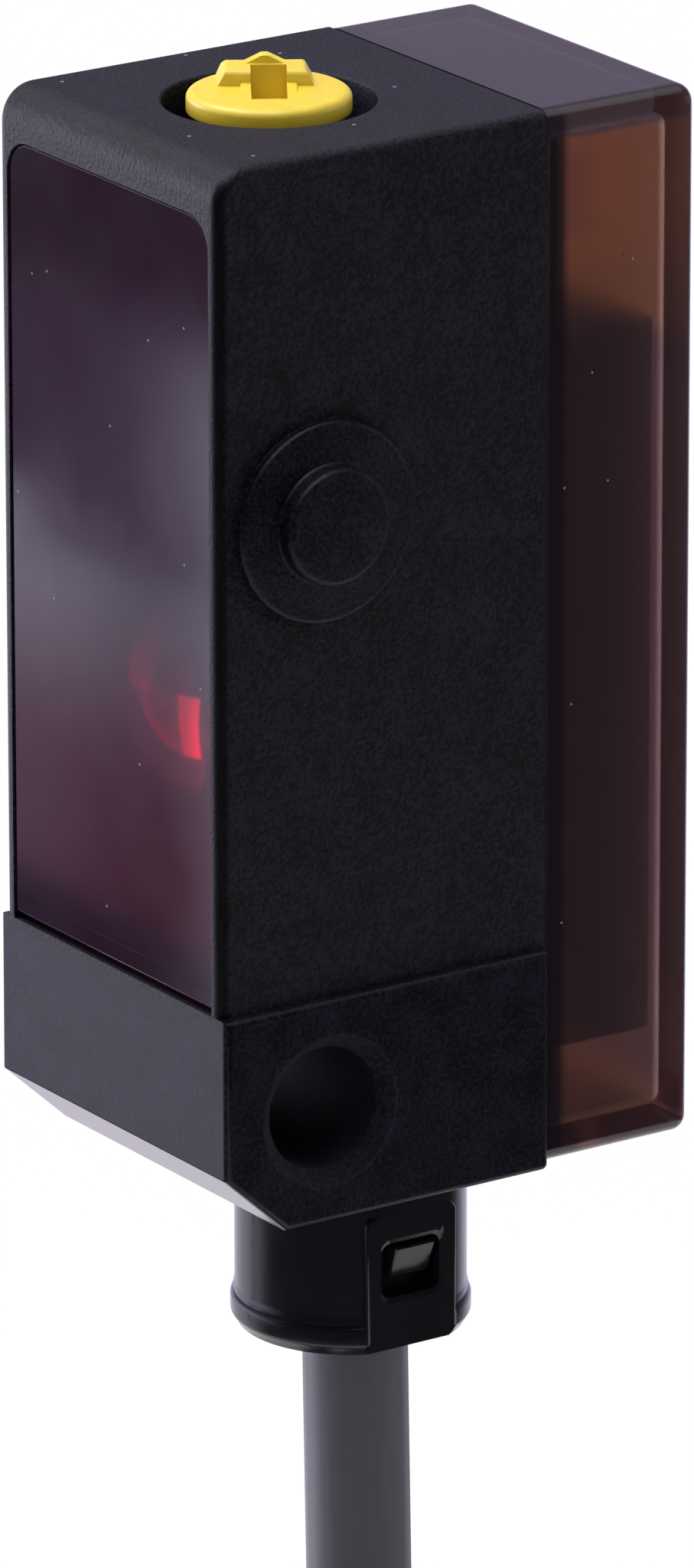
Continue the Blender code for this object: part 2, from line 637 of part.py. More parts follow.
def potentiometer():
    """The trimmer under the housing's top, its rotor and its three pins."""
    half = POT_SIZE / 2
    body = block((-half, half), (ADJUSTER_Y - half, ADJUSTER_Y + half), (POT_TOP - POT_HEIGHT, POT_TOP))
    corners = sharp_corners(body)
    round_edges(body, lambda e: e in corners and not on_plane(e, 2, POT_TOP - POT_HEIGHT), POT_EDGE, 1)
    piece("potentiometer", body, "pot_blue")
    foot = POT_TOP + SEAM
    rotor = turned("potentiometer_rotor", [(0.0, foot + ROTOR_HEIGHT), (ROTOR_RADIUS, foot + ROTOR_HEIGHT),
                                           (ROTOR_RADIUS, foot), (0.0, foot)], "core_white",
                   (0.0, 0.0, -WELL_FLOOR), steps=24, parent=AXIS)
    slot_x = BLADE_WIDTH / 2 + SEAM
    slot_y = BLADE_THICKNESS / 2 + SEAM
    slot = block((-slot_x, slot_x), (-slot_y, slot_y), (foot + ROTOR_HEIGHT - BLADE_LENGTH, foot + ROTOR_HEIGHT + TOUCH))
    bmesh.ops.translate(slot, vec=(0.0, 0.0, -WELL_FLOOR), verts=slot.verts)
    boolean(rotor, piece("rotor_slot", slot, None, AXIS), 'DIFFERENCE')

    y_end = BOARD_FRONT - SEAM - PIN_RADIUS
    z_top = POT_TOP - POT_HEIGHT / 2
    for column, place in ((-1, "left"), (0, "middle"), (1, "right")):
        x = column * PIN_PITCH
        corner = 3 * PIN_RADIUS
        bend = [(x, y_end - corner + corner * math.sin(math.radians(angle)),
                 z_top - corner + corner * math.cos(math.radians(angle))) for angle in (0, 30, 60, 90)]
        line = [(x, ADJUSTER_Y + half + SEAM, z_top)] + bend + [(x, y_end, BOARD_TOP - POT_HEIGHT / 3)]
        tube("potentiometer_pin_" + place, line, PIN_RADIUS, "tin")


def adjuster():
    """The yellow adjuster: slotted disc with a raised pointer bar, on a shaft with a blade."""
    base = WELL_FLOOR
    top = DISC_TOP - base
    foot = DISC_FOOT - base
    shaft_end = CAVITY_TOP - base - SEAM
    profile = [(0.0, top)]
    profile += arc((DISC_RADIUS - DISC_EDGE, top - DISC_EDGE), DISC_EDGE, 90, 0, 3)
    profile += [(DISC_RADIUS, foot + DISC_EDGE), (DISC_RADIUS - DISC_EDGE, foot), (SHAFT_RADIUS, foot),
                (SHAFT_RADIUS, shaft_end), (0.0, shaft_end)]
    made = turned("adjuster", profile, "signal_yellow", (0.0, 0.0, 0.0), steps=40, parent=AXIS)

    inside = top - DISC_EDGE
    bar_top = top + BAR_HEIGHT
    middle = -POINTER_OFFSET
    bar = block((middle - BAR_LENGTH / 2, middle + BAR_LENGTH / 2), (BAR_NEAR, BAR_FAR), (inside, bar_top))
    round_edges(bar, lambda e: on_plane(e, 2, bar_top), BAR_EDGE, 2)
    boolean(made, piece("pointer_bar", bar, None, AXIS), 'UNION')
    cheek = SLOT_WIDTH / 2 + CHEEK_WALL
    rails = block((-cheek, cheek), (-SLOT_NEAR, BAR_FAR - SEAM), (inside, top + CHEEK_HEIGHT))
    for vert in rails.verts:
        if vert.co.y < 0.0 and vert.co.z > inside:
            vert.co.z = top - SEAM / 2
    boolean(made, piece("slot_cheeks", rails, None, AXIS), 'UNION')
    ridge_top = bar_top + POINTER_HEIGHT
    ridge_near = BAR_FAR - POINTER_LENGTH
    ridge = block((middle - POINTER_WIDTH / 2, middle + POINTER_WIDTH / 2), (ridge_near, BAR_FAR - SEAM),
                  (inside, ridge_top))
    round_edges(ridge, lambda e: on_plane(e, 2, ridge_top) and not on_plane(e, 1, ridge_near)
                and not on_plane(e, 1, BAR_FAR - SEAM), POINTER_HEIGHT, 2)
    boolean(made, piece("pointer_ridge", ridge, None, AXIS), 'UNION')
    slot = block((-SLOT_WIDTH / 2, SLOT_WIDTH / 2), (-SLOT_NEAR, SLOT_FAR - 2 * SEAM),
                 (top - SLOT_DEPTH, top + 2 * BAR_HEIGHT))
    boolean(made, piece("driver_slot", slot, None, AXIS), 'DIFFERENCE')
    blade = block((-BLADE_WIDTH / 2, BLADE_WIDTH / 2), (-BLADE_THICKNESS / 2, BLADE_THICKNESS / 2),
                  (shaft_end - BLADE_LENGTH + SEAM, shaft_end + SEAT))
    boolean(made, piece("shaft_blade", blade, None, AXIS), 'UNION')

    middle = (WELL_FLOOR + DISC_FOOT) / 2
    ring = arc((ORING_RADIUS, middle), ORING_SECTION, 180, -180 + 45, 7)
    turned("adjuster_seal", ring, "rubber", (0.0, ADJUSTER_Y, 0.0), closed=True, steps=24)


def rounded_section(y, inset, top_corner, foot_corner):
    """One section of the cover's outside: a rectangle with round corners, in a plane across Y."""
    half = HALF_BODY - inset
    top = BODY_HEIGHT - inset
    foot = COVER_FOOT + inset
    points = arc((half - top_corner, top - top_corner), top_corner, 0, 90, 4)
    points += arc((top_corner - half, top - top_corner), top_corner, 90, 180, 4)
    points += arc((foot_corner - half, foot + foot_corner), foot_corner, 180, 270, 4)
    points += arc((half - foot_corner, foot + foot_corner), foot_corner, 270, 360, 4)
    return [Vector((x, y, z)) for x, z in points]


def loft(sections):
    """A closed skin over sections with as many points each, as a bmesh of triangles."""
    bm = bmesh.new()
    rings = [[bm.verts.new(point) for point in section] for section in sections]
    bm.faces.new(rings[0])
    bm.faces.new(rings[-1])
    for first, second in zip(rings, rings[1:]):
        for index in range(len(first)):
            after = (index + 1) % len(first)
            bm.faces.new((first[index], first[after], second[after], second[index]))
    bmesh.ops.recalc_face_normals(bm, faces=bm.faces)
    bmesh.ops.triangulate(bm, faces=[face for face in bm.faces if len(face.verts) == 4])
    return bm


def rear_cover():
    """The smoked translucent cover, a shell open to the front, and the seal it closes on."""
    sections = [rounded_section(COVER_FRONT, 0.0, BODY_EDGE, BODY_EDGE)]
    for angle in (0, 22, 45, 67, 90):
        bend = math.radians(angle)
        inset = COVER_REAR_ROUND * (1 - math.cos(bend))
        y = SENSOR_DEPTH - COVER_REAR_ROUND * (1 - math.sin(bend))
        sections.append(rounded_section(y, inset, max(COVER_TOP_CORNER - inset, SEAM),
                                        max(COVER_FOOT_CORNER - inset, SEAM)))
    shell = loft(sections)
    made = piece("rear_cover", shell, "smoked_brown")
    hollow = block((-COVER_INNER_HALF, COVER_INNER_HALF), (COVER_FRONT - TOUCH, SENSOR_DEPTH - COVER_BACK_WALL),
                   (COVER_INNER_FOOT, COVER_INNER_TOP))
    corners = sharp_corners(hollow)
    round_edges(hollow, lambda e: e in corners and not on_plane(e, 1, COVER_FRONT - TOUCH), SEAT, 2)
    cut(made, "cover_hollow", hollow)

    outer = COVER_INNER_HALF - SEAL_GAP
    inner = RIM_OUTER_HALF + SEAL_GAP
    inset = RIM_INSET - SEAL_GAP
    frame = block((-outer, outer), (BODY_DEPTH + SEAM, BODY_DEPTH + RIM_LENGTH - SEAM),
                  (COVER_INNER_FOOT + SEAL_GAP, COVER_INNER_TOP - SEAL_GAP))
    round_edges(frame, lambda e: abs(e.verts[0].co.y - e.verts[1].co.y) > SEAM, SEAT + SEAL_GAP, 2)
    seal = piece("cover_seal", frame, "rubber")
    cut(seal, "seal_opening", block((-inner, inner), (BODY_DEPTH, BODY_DEPTH + 2 * RIM_LENGTH),
                                    (COVER_INNER_FOOT + inset, COVER_INNER_TOP - inset)))


def gland():
    """The snap-in gland with its flat pad and latch window, the clamp sleeve and the seal ring."""
    flange_top = -GLAND_LENGTH + FLANGE_HEIGHT
    rise = FLANGE_HEIGHT / 3
    profile = [
        (SPIGOT_RADIUS, SPIGOT_LENGTH), (SPIGOT_RADIUS, -SEAM), (GLAND_RADIUS, -SEAM), (GLAND_RADIUS, flange_top),
        (FLANGE_RADIUS, flange_top - rise), (FLANGE_RADIUS, -GLAND_LENGTH + rise),
        (FLANGE_RADIUS - SEAM / 2, -GLAND_LENGTH + rise / 3), (FLANGE_RADIUS - 2 * SEAM, -GLAND_LENGTH),
        (GLAND_BORE, -GLAND_LENGTH), (GLAND_BORE, -GLAND_SHOULDER), (CABLE_BORE, -GLAND_SHOULDER),
        (CABLE_BORE, SPIGOT_LENGTH)]
    made = turned("cable_gland", profile, "gloss_black", (0.0, GLAND_Y, 0.0), closed=True, steps=40)
    pad = block((GLAND_BORE + SEAM, PAD_FACE), (GLAND_Y - PAD_WIDTH / 2, GLAND_Y + PAD_WIDTH / 2), (-PAD_FOOT, -PAD_TOP))
    round_edges(pad, lambda e: on_plane(e, 2, -PAD_TOP) and not on_plane(e, 0, PAD_FACE)
                and not on_plane(e, 0, GLAND_BORE + SEAM)
                or abs(e.verts[0].co.x - e.verts[1].co.x) > SEAM and on_plane(e, 2, -PAD_TOP), PAD_CORNER, 3)
    round_edges(pad, lambda e: on_plane(e, 0, PAD_FACE), SEAM, 1)
    add(made, "gland_pad", pad)
    cut(made, "pad_face_cut", block((PAD_FACE, FLANGE_RADIUS + TOUCH),
                                    (GLAND_Y - PAD_WIDTH / 2, GLAND_Y + PAD_WIDTH / 2), (-PAD_FOOT, -PAD_TOP)))
    cut(made, "pad_foot_cut", block((GLAND_BORE + TOUCH, FLANGE_RADIUS + TOUCH),
                                    (GLAND_Y - PAD_WIDTH / 2, GLAND_Y + PAD_WIDTH / 2),
                                    (-GLAND_LENGTH - TOUCH, -PAD_FOOT)))
    half_y = LATCH_WINDOW_WIDTH / 2
    half_z = LATCH_WINDOW_HEIGHT / 2
    opening = block((GLAND_BORE - TOUCH - SEAT, PAD_FACE + TOUCH), (GLAND_Y - half_y, GLAND_Y + half_y),
                    (-LATCH_WINDOW_Z - half_z, -LATCH_WINDOW_Z + half_z))
    round_edges(opening, lambda e: abs(e.verts[0].co.x - e.verts[1].co.x) > SEAM, LATCH_WINDOW_CORNER, 2)
    cut(made, "latch_window", opening)

    outer = GLAND_BORE - SEAT
    sleeve = turned("cable_clamp", [
        (outer, -CLAMP_TOP), (outer, -GLAND_LENGTH + SEAT), (CLAMP_BORE, -GLAND_LENGTH + SEAT),
        (CLAMP_BORE, -CLAMP_TOP)], "gloss_black", (0.0, GLAND_Y, 0.0), closed=True)
    nub_y = half_y - LATCH_GAP
    nub_top = half_z - LATCH_GAP - LATCH_WINDOW_Z
    face = PAD_FACE - LATCH_SET_BACK
    nub = block((outer - SEAT - TOUCH, face), (GLAND_Y - nub_y, GLAND_Y + nub_y),
                (LATCH_UNDER - half_z - LATCH_WINDOW_Z, nub_top))
    for vert in nub.verts:
        if vert.co.x > outer and vert.co.z > nub_top - SEAM:
            vert.co.x -= LATCH_RAMP
    add(sleeve, "latch_nub", nub)

    turned("cable_seal", [
        (outer, -SEAL_RING_TOP), (outer, -SEAL_RING_TOP - SEAL_RING_HEIGHT),
        (CABLE_BORE, -SEAL_RING_TOP - SEAL_RING_HEIGHT), (CABLE_BORE, -SEAL_RING_TOP)],
        "rubber", (0.0, GLAND_Y, 0.0), closed=True)


def leads():
    """The four cores from the sheath's upper end to the circuit board."""
    start = SPIGOT_LENGTH + SHEATH_ABOVE_SPIGOT + TOUCH
    turn = start + CORE_PITCH * 2
    for index, name in enumerate(("brown", "white", "blue", "black")):
        x = (-1, 1, -1, 1)[index] * CORE_PITCH
        y = GLAND_Y + (1, 1, -1, -1)[index] * CORE_PITCH
        rise = CORE_PITCH * (0, 0, 1.6, 1.6)[index]
        end_x = (-1.5, 1.5, -0.5, 0.5)[index] * CORE_PITCH * 3
        path = smooth_path([(x, y, start), (x, y, turn + rise), ((x + end_x) / 2, BODY_DEPTH - CORE_PITCH, turn + rise),
                            (end_x, BOARD_FRONT - SEAM, turn + rise)], 3)
        tube("lead_" + name, path, LEAD_RADIUS, "core_" + name)


def cable():
    """The cable's upper stretch, its hank with the tie, and the tail with its bared cores."""
    top = SPIGOT_LENGTH + SHEATH_ABOVE_SPIGOT
    foot = HANK_TOP + TOUCH
    count = 8
    heights = [top + (foot - top) * step / count for step in range(count + 1)]
    line = [(0.0, GLAND_Y + CABLE_LEAN * (SPIGOT_LENGTH / 2 - z), z) for z in heights]
    tube("cable", line, CABLE_RADIUS, "cable_grey")

    middle_z = (HANK_TOP + HANK_FOOT) / 2
    hank = hank_outline("cable_hank", HANK_RADIUS, HANK_THICKNESS)
    hank.location = (HANK_X, GLAND_Y, middle_z)
    hank.data.materials.append(material("cable_hank", "cable_grey"))
    PARTS.objects.link(hank)

    x_in = HANK_THICKNESS / 2 + TOUCH
    y_in = HANK_RADIUS + TOUCH
    tie = block((HANK_X - x_in - TIE_THICKNESS, HANK_X + x_in + TIE_THICKNESS),
                (GLAND_Y - y_in - TIE_THICKNESS, GLAND_Y + y_in + TIE_THICKNESS),
                (middle_z - TIE_WIDTH / 2, middle_z + TIE_WIDTH / 2))
    round_edges(tie, lambda e: abs(e.verts[0].co.z - e.verts[1].co.z) > TIE_WIDTH / 2, TIE_THICKNESS, 3)
    band = piece("hank_tie", tie, "gloss_black")
    cut(band, "tie_opening", block((HANK_X - x_in, HANK_X + x_in), (GLAND_Y - y_in, GLAND_Y + y_in),
                                   (middle_z - TIE_WIDTH, middle_z + TIE_WIDTH)))

    offset = HANK_RADIUS - CABLE_RADIUS
    tail_y = GLAND_Y + offset
    near = offset - CABLE_RADIUS
    tail_top = HANK_FOOT + HANK_RADIUS - math.sqrt(HANK_RADIUS ** 2 - near ** 2) - TOUCH
    count = 5
    line = [(TAIL_X, tail_y, tail_top + (TAIL_FOOT - tail_top) * step / count) for step in range(count + 1)]
    tube("cable_tail", line, CABLE_RADIUS, "cable_grey")

    for index, name in enumerate(("brown", "white", "blue", "black")):
        way_x = (-1, 1, -1, 1)[index]
        way_y = (1, 1, -1, -1)[index]
        path = []
        for step in range(7):
            along = step / 6
            out = CORE_PITCH + (CORE_SPREAD - CORE_PITCH) * along ** 2
            path.append(Vector((TAIL_X + way_x * out, tail_y + way_y * out, TAIL_FOOT - TOUCH - CORE_LENGTH * along)))
        tube("core_" + name, path, CORE_RADIUS, "core_" + name)
        heading = (path[-1] - path[-2]).normalized()
        tip = [path[-1] + heading * SEAM, path[-1] + heading * TIP_LENGTH]
        tube("tinned_tip_" + name, tip, TIP_RADIUS, "tin")


def hank_outline(name, radius, thickness):
    """An upright plate with round ends, drawn as a flat curve and extruded."""
    curve = bpy.data.curves.new(name, 'CURVE')
    curve.dimensions = '2D'
    curve.fill_mode = 'BOTH'
    curve.extrude = thickness / 2
    spline = curve.splines.new('POLY')
    segments = 14
    points = arc((HANK_RUN / 2, 0.0), radius, -90, 90, segments)
    points += arc((-HANK_RUN / 2, 0.0), radius, 90, 270, segments)
    spline.points.add(len(points) - 1)
    for target, (u, v) in zip(spline.points, points):
        target.co = (u, v, 0.0, 1.0)
    spline.use_cyclic_u = True
    made = bpy.data.objects.new(name, curve)
    made.parent = FRAME
    made.rotation_euler = (0.0, math.pi / 2, 0.0)
    return made


clear_scene()
PARTS = collection("photoelectric_receiver")
CUTTERS = collection("cutters")
FRAME = empty("sensor_frame", (HALF_FOOT, -MOUNT_POINT_Y, -FIXING_HOLE_Z))
AXIS = empty("adjuster_axis", (0.0, ADJUSTER_Y, WELL_FLOOR), FRAME, ADJUSTER_REST_ANGLE)
housing()
front_window()
optics()
board_and_tray()
potentiometer()
adjuster()
rear_cover()
gland()
leads()
cable()
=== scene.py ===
"""Looks of a through-beam photoelectric receiver, laid out as an add-on and run as a script.

Pieces are modelled in the sensor's own coordinates, in metres: X runs across the housing from its
middle, Y from the window to the rear cover and Z up from the underside of the foot block. Each one
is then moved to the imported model's frame in its mesh, so every object stays at the origin.
"""
import json
import math

import bmesh
import bpy
from bpy.props import FloatProperty, FloatVectorProperty, PointerProperty
from mathutils import Matrix, Vector


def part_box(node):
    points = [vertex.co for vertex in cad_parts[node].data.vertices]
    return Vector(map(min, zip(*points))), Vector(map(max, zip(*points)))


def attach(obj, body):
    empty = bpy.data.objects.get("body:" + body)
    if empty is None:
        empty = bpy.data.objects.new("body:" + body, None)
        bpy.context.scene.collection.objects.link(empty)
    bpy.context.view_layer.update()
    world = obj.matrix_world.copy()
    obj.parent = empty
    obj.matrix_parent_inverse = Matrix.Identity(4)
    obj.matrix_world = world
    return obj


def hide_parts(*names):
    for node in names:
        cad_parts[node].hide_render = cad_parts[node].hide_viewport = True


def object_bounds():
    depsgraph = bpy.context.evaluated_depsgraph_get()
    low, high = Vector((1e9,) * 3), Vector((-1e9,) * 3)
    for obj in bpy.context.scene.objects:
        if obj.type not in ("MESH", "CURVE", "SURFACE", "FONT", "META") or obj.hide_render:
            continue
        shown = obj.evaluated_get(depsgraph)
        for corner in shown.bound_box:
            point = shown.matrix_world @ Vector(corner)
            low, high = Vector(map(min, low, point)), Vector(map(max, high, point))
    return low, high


bl_info = {
    "name": "Through-beam photoelectric receiver",
    "version": (1, 0, 0),
    "blender": (4, 5, 0),
    "location": "View3D > Sidebar > Receiver",
    "description": "Builds the dressed receiver, its cable and a plain studio over the packed model",
    "category": "Add Mesh",
}

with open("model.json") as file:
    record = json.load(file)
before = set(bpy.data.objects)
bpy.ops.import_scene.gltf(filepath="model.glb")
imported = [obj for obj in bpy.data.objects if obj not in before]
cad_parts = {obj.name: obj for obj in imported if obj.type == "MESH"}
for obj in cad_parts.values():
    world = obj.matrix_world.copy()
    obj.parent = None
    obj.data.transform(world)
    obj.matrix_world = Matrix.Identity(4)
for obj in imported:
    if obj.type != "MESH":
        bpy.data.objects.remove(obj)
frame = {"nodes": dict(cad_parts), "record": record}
CAD_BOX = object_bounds()
X, Y, Z = range(3)


def sensor_box(node):
    """A node's lowest and highest corners in the sensor's own coordinates."""
    low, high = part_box(node)
    return Vector(low) - ORIGIN, Vector(high) - ORIGIN


HOUSING_LOW, HOUSING_HIGH = (Vector(corner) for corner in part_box("housing"))
ORIGIN = Vector(((HOUSING_LOW.x + HOUSING_HIGH.x) / 2, HOUSING_LOW.y, HOUSING_LOW.z))
HOUSING = sensor_box("housing")
WINDOW = sensor_box("front_window")
COVER = sensor_box("rear_cover")
GLAND = sensor_box("cable_gland")
CLAMP = sensor_box("cable_clamp")
CABLE = sensor_box("cable")
HANK = sensor_box("cable_hank")
TIE = sensor_box("hank_tie")
TAIL = sensor_box("cable_tail")

# Clearances and the smallest rounds
SEAM = 0.0001
SEAT = 0.0002
RUNNING = 0.00025
TOUCH = 0.0003

HALF_BODY = (COVER[1].x - COVER[0].x) / 2
BODY_DEPTH = COVER[0].y - SEAM
BODY_HEIGHT = HOUSING[1].z
FOOT_HEIGHT = WINDOW[0].z - SEAT
WINDOW_TOP = WINDOW[1].z + SEAM
GLAND_Y = (GLAND[0].y + GLAND[1].y) / 2
FLANGE_RADIUS = (GLAND[1].x - GLAND[0].x) / 2
SPIGOT_TOP = GLAND[1].z
GLAND_FOOT = GLAND[0].z
AXIS = Vector(frame["record"]["behaviour"]["joints"][0]["pos_m"]) - ORIGIN

# The camera: bearing, height and roll in degrees, place from the sensor's origin, lens on a 36 mm sensor
CAMERA_BEARING = 56.0738
CAMERA_RISE = 18.6128
CAMERA_ROLL = -0.062628
CAMERA_PLACE = Vector((0.30068417, -0.19402037, 0.13285195))
CAMERA_LENS = 300.54

# The lamps: bearing and height in degrees, distance and size in metres, power in watts, colour
WHITE = (1.0, 1.0, 1.0)
LAMPS = {
    "key_light": ((-60.0, 55.0), 0.75, 0.45, 4.8, WHITE),
    "top_light": ((20.0, 80.0), 0.65, 0.50, 3.0, WHITE),
    "right_light": ((160.0, 5.0), 0.70, 0.35, 1.2, WHITE),
    "left_light": ((-60.0, 0.0), 0.70, 0.35, 5.2, (0.88, 0.87, 1.0)),
}

# The cable's cores and the colour of their insulation
CORES = {"brown": (0.16, 0.07, 0.03), "white": (0.75, 0.74, 0.70), "blue": (0.04, 0.13, 0.42),
         "black": (0.02, 0.02, 0.02)}


def length(name, about, default):
    """A size in metres for a group of settings."""
    return FloatProperty(name=name, description=about, default=default, precision=5,
                         subtype='DISTANCE', unit='LENGTH')


def tint(name, about, default):
    """A colour for a group of settings."""
    return FloatVectorProperty(name=name, description=about, default=default, size=3, min=0.0, max=1.0,
                               subtype='COLOR')


class HousingSizes(bpy.types.PropertyGroup):
    """Sizes of the moulded housing and of the window in it."""
    edge: length("Upright edge", "Radius of the upper body's edges", 0.0003)
    top_front: length("Top front round", "Radius between the top and the front", 0.00105)
    foot_edge: length("Foot edge", "Radius of the foot block's edges", 0.0002)
    chamfer_height: length("Chamfer height", "Height of the chamfer under the front", 0.00192)
    chamfer_depth: length("Chamfer depth", "Depth of the chamfer under the front", 0.00209)
    stud_height: length("Stud height", "How far a side stud stands out of its pad", 0.0006)
    stud_radius: length("Stud radius", "Radius of a side stud", 0.00174)
    pad_radius: length("Pad radius", "Radius of the round pad on a side", 0.0030)
    stud_share: FloatProperty(name="Stud place", description="Share of the height at which the studs lie",
                              default=0.662, min=0.0, max=1.0)
    fixing_y: length("Fixing hole place", "From the front to the fixing hole", 0.0036)
    fixing_z: length("Fixing hole height", "From the underside to the fixing hole", 0.00339)
    fixing_radius: length("Fixing hole radius", "Radius of the through hole", 0.00185)
    fixing_chamfer: length("Fixing hole chamfer", "Chamfer at the hole's mouths", 0.00042)
    well_radius: length("Well radius", "Radius of the adjuster's well", 0.0031)
    well_depth: length("Well depth", "Depth of the adjuster's well", 0.0014)
    window_depth: length("Window recess", "Depth of the recess that holds the window", 0.00125)
    window_lip: length("Window lip", "Wall left on each side of the window", 0.00046)
    window_corner: length("Window corner", "Radius of the window's upper corners", 0.0010)
    window_chamfer: length("Window chamfer", "Chamfer round the window's recess", 0.00002)
    window_gap: length("Window gap", "Gap between the window and its recess", 0.00002)
    # The window's painted red glow lies between these two heights.
    lit_top: length("Lit part's top", "Height at which the window stops glowing red", 0.0160)
    lit_foot: length("Lit part's foot", "Height at which the window starts to glow red", 0.0082)
    cavity_width: length("Cavity width", "Width of the hollow behind the window", 0.0084)
    cavity_floor: length("Cavity floor", "Height of the hollow's floor", 0.0076)
    top_wall: length("Top wall", "Thickness of the housing's top", 0.0021)
    rim_wall: length("Rim wall", "Thickness of the rear rim", 0.00042)
    rim_length: length("Rim length", "How far the rear rim stands out", 0.00085)
    pocket_floor: length("Lead pocket floor", "Height of the floor under the leads", 0.0020)
    pocket_depth: length("Lead pocket depth", "Depth of the pocket for the leads", 0.0017)


class CoverSizes(bpy.types.PropertyGroup):
    """Sizes of the translucent rear cover."""
    wall: length("Wall", "Thickness of the side walls", 0.00085)
    back_wall: length("Back wall", "Thickness of the rear wall", 0.0007)
    weld: length("Weld", "Width of the dark welded strip along the housing", 0.00072)
    dark_top: length("Shadow top", "Upper end of the dark mass behind the cover", 0.02655)
    dark_foot: length("Shadow foot", "Lower end of the dark mass behind the cover", 0.00480)
    notch_depth: length("Notch depth", "From the housing to the end of the small upper shadow", 0.0017)
    notch_foot: length("Notch foot", "Lower end of the small upper shadow", 0.0281)
    notch_top: length("Notch top", "Upper end of the small upper shadow", 0.0307)
    rear_round: length("Rear round", "Radius round the rear face", 0.00048)
    top_corner: length("Top corner", "Radius of the upper corners", 0.00055)
    foot_corner: length("Foot corner", "Radius of the lower corners", 0.00050)
    inner_round: length("Inner round", "Radius of the hollow's edges", 0.0004)


class AdjusterSizes(bpy.types.PropertyGroup):
    """Sizes of the yellow sensitivity adjuster."""
    rest_angle: FloatProperty(name="Rest angle", description="Turn of the pointer at rest",
                              default=math.radians(57.5), subtype='ANGLE', unit='ROTATION')
    radius: length("Disc radius", "Radius of the disc", 0.00239)
    thickness: length("Disc thickness", "Thickness of the disc", 0.00065)
    proud: length("Disc stand", "How far the disc stands out of the housing", 0.00027)
    edge: length("Disc edge", "Radius of the disc's edge", 0.00024)
    bar_length: length("Bar length", "Length of the raised bar", 0.0030)
    bar_height: length("Bar height", "Height of the raised bar", 0.00045)
    bar_near: length("Bar near side", "From the axis to the bar's near side", 0.00035)
    bar_far: length("Bar far side", "From the axis to the bar's far side", 0.00168)
    bar_edge: length("Bar edge", "Radius of the bar's upper edges", 0.00016)
    bar_slope: length("Bar slope", "How far the bar's ends spread at the disc", 0.00030)
    cheek_height: length("Cheek height", "Height of the walls beside the slot", 0.00022)
    cheek_wall: length("Cheek wall", "Thickness of the walls beside the slot", 0.0003)
    slot_width: length("Slot width", "Width of the driver slot", 0.00104)
    slot_near: length("Slot near end", "From the axis to the slot's near end", 0.00107)
    slot_far: length("Slot far end", "From the axis to the slot's far end", 0.0012)
    slot_depth: length("Slot depth", "Depth of the driver slot", 0.00055)
    pointer_width: length("Pointer width", "Width of the pointer's ridge at its foot", 0.0015)
    pointer_height: length("Pointer height", "Height of the pointer's ridge", 0.00023)
    pointer_length: length("Pointer length", "Length of the pointer's ridge", 0.00055)
    pointer_offset: length("Pointer offset", "Shift of bar and pointer to one side", 0.0001)
    shaft_radius: length("Shaft radius", "Radius of the shaft", 0.001)
    blade_width: length("Blade width", "Width of the blade at the shaft's end", 0.0016)
    blade_thickness: length("Blade thickness", "Thickness of the blade", 0.0005)
    blade_length: length("Blade length", "Length of the blade", 0.0004)


class GlandSizes(bpy.types.PropertyGroup):
    """Sizes of the snap-in gland and its clamp."""
    radius: length("Sleeve radius", "Radius of the sleeve", 0.00344)
    flange_height: length("Flange height", "Height of the flange", 0.00112)
    spigot_radius: length("Spigot radius", "Radius of the part inside the housing", 0.0021)
    bore: length("Bore", "Radius of the wide bore", 0.00275)
    shoulder: length("Shoulder", "Depth of the shoulder over the wide bore", 0.0004)
    cable_bore: length("Cable bore", "Radius of the narrow bore", 0.0017)
    clamp_bore: length("Clamp bore", "Radius of the clamp's bore", 0.0018)
    pad_face: length("Pad face", "From the axis to the flat pad", 0.00325)
    pad_width: length("Pad width", "Width of the flat pad", 0.00318)
    pad_top: length("Pad top", "From the housing down to the pad", 0.0015)
    pad_foot: length("Pad foot", "From the housing down to the pad's end", 0.00545)
    pad_corner: length("Pad corner", "Radius of the pad's upper corners", 0.0003)
    window_width: length("Latch window width", "Width of the latch window", 0.00205)
    window_height: length("Latch window height", "Height of the latch window", 0.0017)
    window_drop: length("Latch window place", "From the housing down to the latch window", 0.00327)
    window_corner: length("Latch window corner", "Radius of the latch window's corners", 0.0003)
    latch_gap: length("Latch gap", "Gap round the latch", 0.0002)
    latch_set_back: length("Latch set back", "From the pad's face to the latch", 0.00008)
    latch_ramp: length("Latch ramp", "How far the latch's lower edge leans back", 0.0004)
    latch_under: length("Latch foot gap", "Gap under the latch", 0.00045)


class CordSizes(bpy.types.PropertyGroup):
    """Sizes of the fixed cable and its hank."""
    radius: length("Cable radius", "Radius of the sheath", 0.001575)
    real_length: length("Cable length", "Length of the fixed cable", 2.0)
    lean: FloatProperty(name="Lean", description="Sideways drift of the cable for each metre down",
                        default=0.0175)
    inner_radius: length("Innermost turn", "Centreline radius of the innermost turn", 0.00945)
    swing_start: length("Swing start", "From the runs' top down to where the cable swings aside", 0.0163)
    tie_wall: length("Tie thickness", "Thickness of the tie's strap", 0.0009)
    tie_width: length("Tie width", "Width of the tie's strap", 0.0032)
    tie_head: length("Tie head", "Length of the tie's head", 0.0052)


